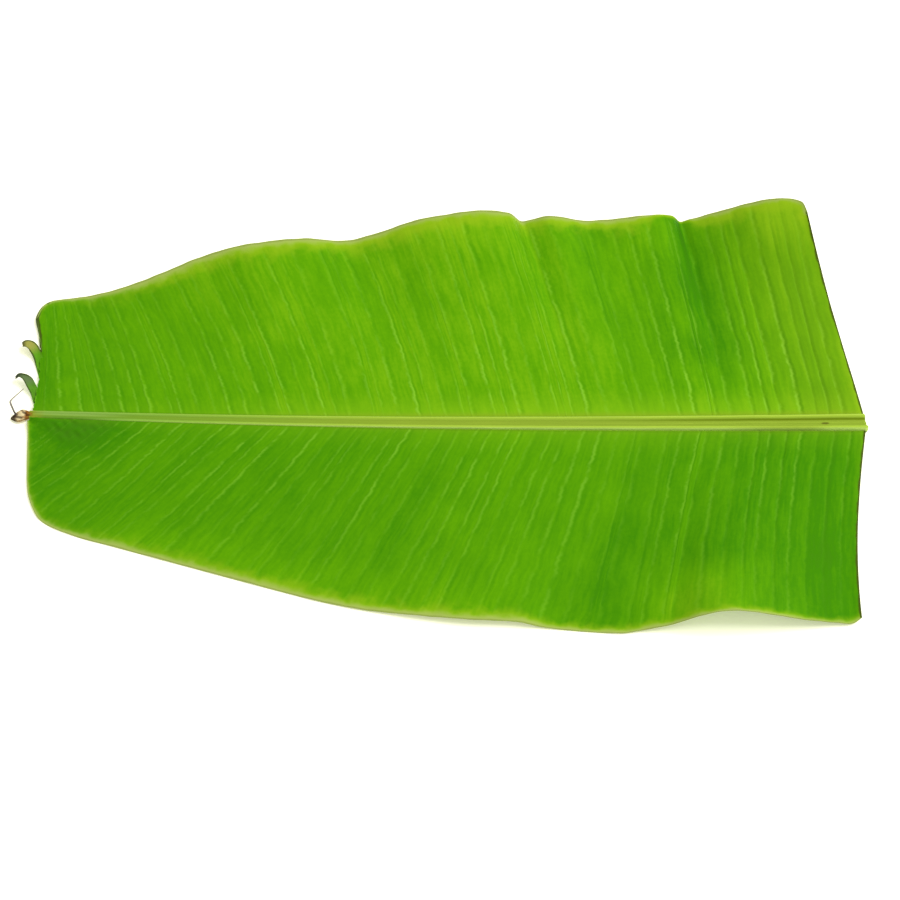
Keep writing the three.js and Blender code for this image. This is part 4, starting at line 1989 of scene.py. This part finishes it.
# Factor on the distance to the margin, so that the dry margin is narrower or broader, by the vein's root
RIGHT_MARGIN_NARROWING = (
    (0.0, 2.6), (40.0, 2.0), (80.0, 1.0), (120.0, 0.75), (330.0, 0.7), (440.0, 0.75), (500.0, 0.9),
    (552.0, 1.0), (560.0, 3.5), (578.0, 3.5), (588.0, 1.1), (640.0, 0.9), (700.0, 0.9),
)
LEFT_MARGIN_NARROWING = (
    (0.0, 2.8), (70.0, 2.6), (105.0, 1.7), (140.0, 1.1), (170.0, 1.05), (420.0, 1.05), (460.0, 1.1),
    (485.0, 1.7), (520.0, 1.7), (560.0, 1.5), (630.0, 2.1), (700.0, 2.1),
)
# Veins whose roots are set rather than drawn: number from the tip, and x of the root
RIGHT_PLACED_VEINS = (
    (36, 449.0), (37, 461.5), (38, 477.0), (45, 566.0), (46, 578.0), (47, 597.0), (48, 609.0),
    (49, 619.5), (50, 636.5), (51, 650.0), (52, 660.0), (53, 671.0),
)
LEFT_WRINKLES = Wrinkles(root=45, width=36, height=0.9, end=0.6)
RIGHT_CREASES = (Crease(root=578, width=5, depth=2.5), Crease(root=458, width=4, depth=1.5))


@dataclass
class BananaLeaf:
    """The whole leaf, from its midrib out."""

    midrib: Midrib = field(default_factory=Midrib)
    tip: WitheredTip = field(default_factory=WitheredTip)

    def leaf_frame(self) -> LeafFrame:
        """Finds the leaf's axes from the midrib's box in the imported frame.

        Returns:
            Place of the leaf's axes.
        """
        low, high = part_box("midrib")
        x = high.x - (self.midrib.length + self.midrib.overhang) * MM
        y = low.y + self.midrib.cut.half_width * MM
        return LeafFrame(np.array((x, y, 0.0)))

    def halves(self) -> tuple[BladeHalf, BladeHalf]:
        """Describes the two halves of the blade.

        Returns:
            Right half and left half.
        """
        right = BladeHalf(
            "blade_right_veined", "blade_right", Half.RIGHT, self.midrib, RIGHT_GUIDES,
            RIGHT_BANDS, ground_tone=0.1, seed=3, creases=RIGHT_CREASES, torn_from=73.0,
            placed_veins=RIGHT_PLACED_VEINS, margin_narrowing=RIGHT_MARGIN_NARROWING,
        )
        left = BladeHalf(
            "blade_left_veined", "blade_left", Half.LEFT, self.midrib, LEFT_GUIDES,
            LEFT_BANDS, ground_tone=-0.5, seed=8, furrow_depth=0.6, furrowed_from=400.0,
            open_share=0.25, wrinkles=LEFT_WRINKLES, margin_narrowing=LEFT_MARGIN_NARROWING,
        )
        return right, left

    def strips(self) -> tuple[tuple[TornLobe, TornFinish], ...]:
        """Describes the strips torn at the tip.

        Returns:
            Each strip with its finish.
        """
        return (
            (TornLobe("torn_lobe_first", FIRST_LOBE, twist=math.radians(18), seed=21), TORN),
            (TornLobe("torn_lobe_second", SECOND_LOBE, twist=math.radians(35), seed=22), SHRIVELLED),
            (TornLobe("torn_rolled_edge", ROLLED_EDGE, twist=math.radians(20), seed=23, curl=0.3), ROLLED),
        )

    def build(self, leaf: LeafFrame, effects: Effects) -> None:
        """Builds every piece of the leaf.

        Args:
            leaf: Place of the leaf's axes.
            effects: Shared node groups.
        """
        self.midrib.build(leaf, effects)
        faces = [finish.material(effects) for finish in (UPPER, UNDER, RIM)]
        for half in self.halves():
            half.build(leaf, faces)
        for strip, finish in self.strips():
            strip.build(leaf, finish.material(effects))
        self.tip.build(leaf, effects)


def main() -> None:
    """Builds the leaf and its studio in order."""
    logging.basicConfig(level=logging.INFO, format="%(name)s: %(message)s")
    effects = Effects()
    banana_leaf = BananaLeaf()
    leaf = banana_leaf.leaf_frame()
    banana_leaf.build(leaf, effects)
    Studio().build(leaf, effects)


if __name__ == "__main__":
    main()
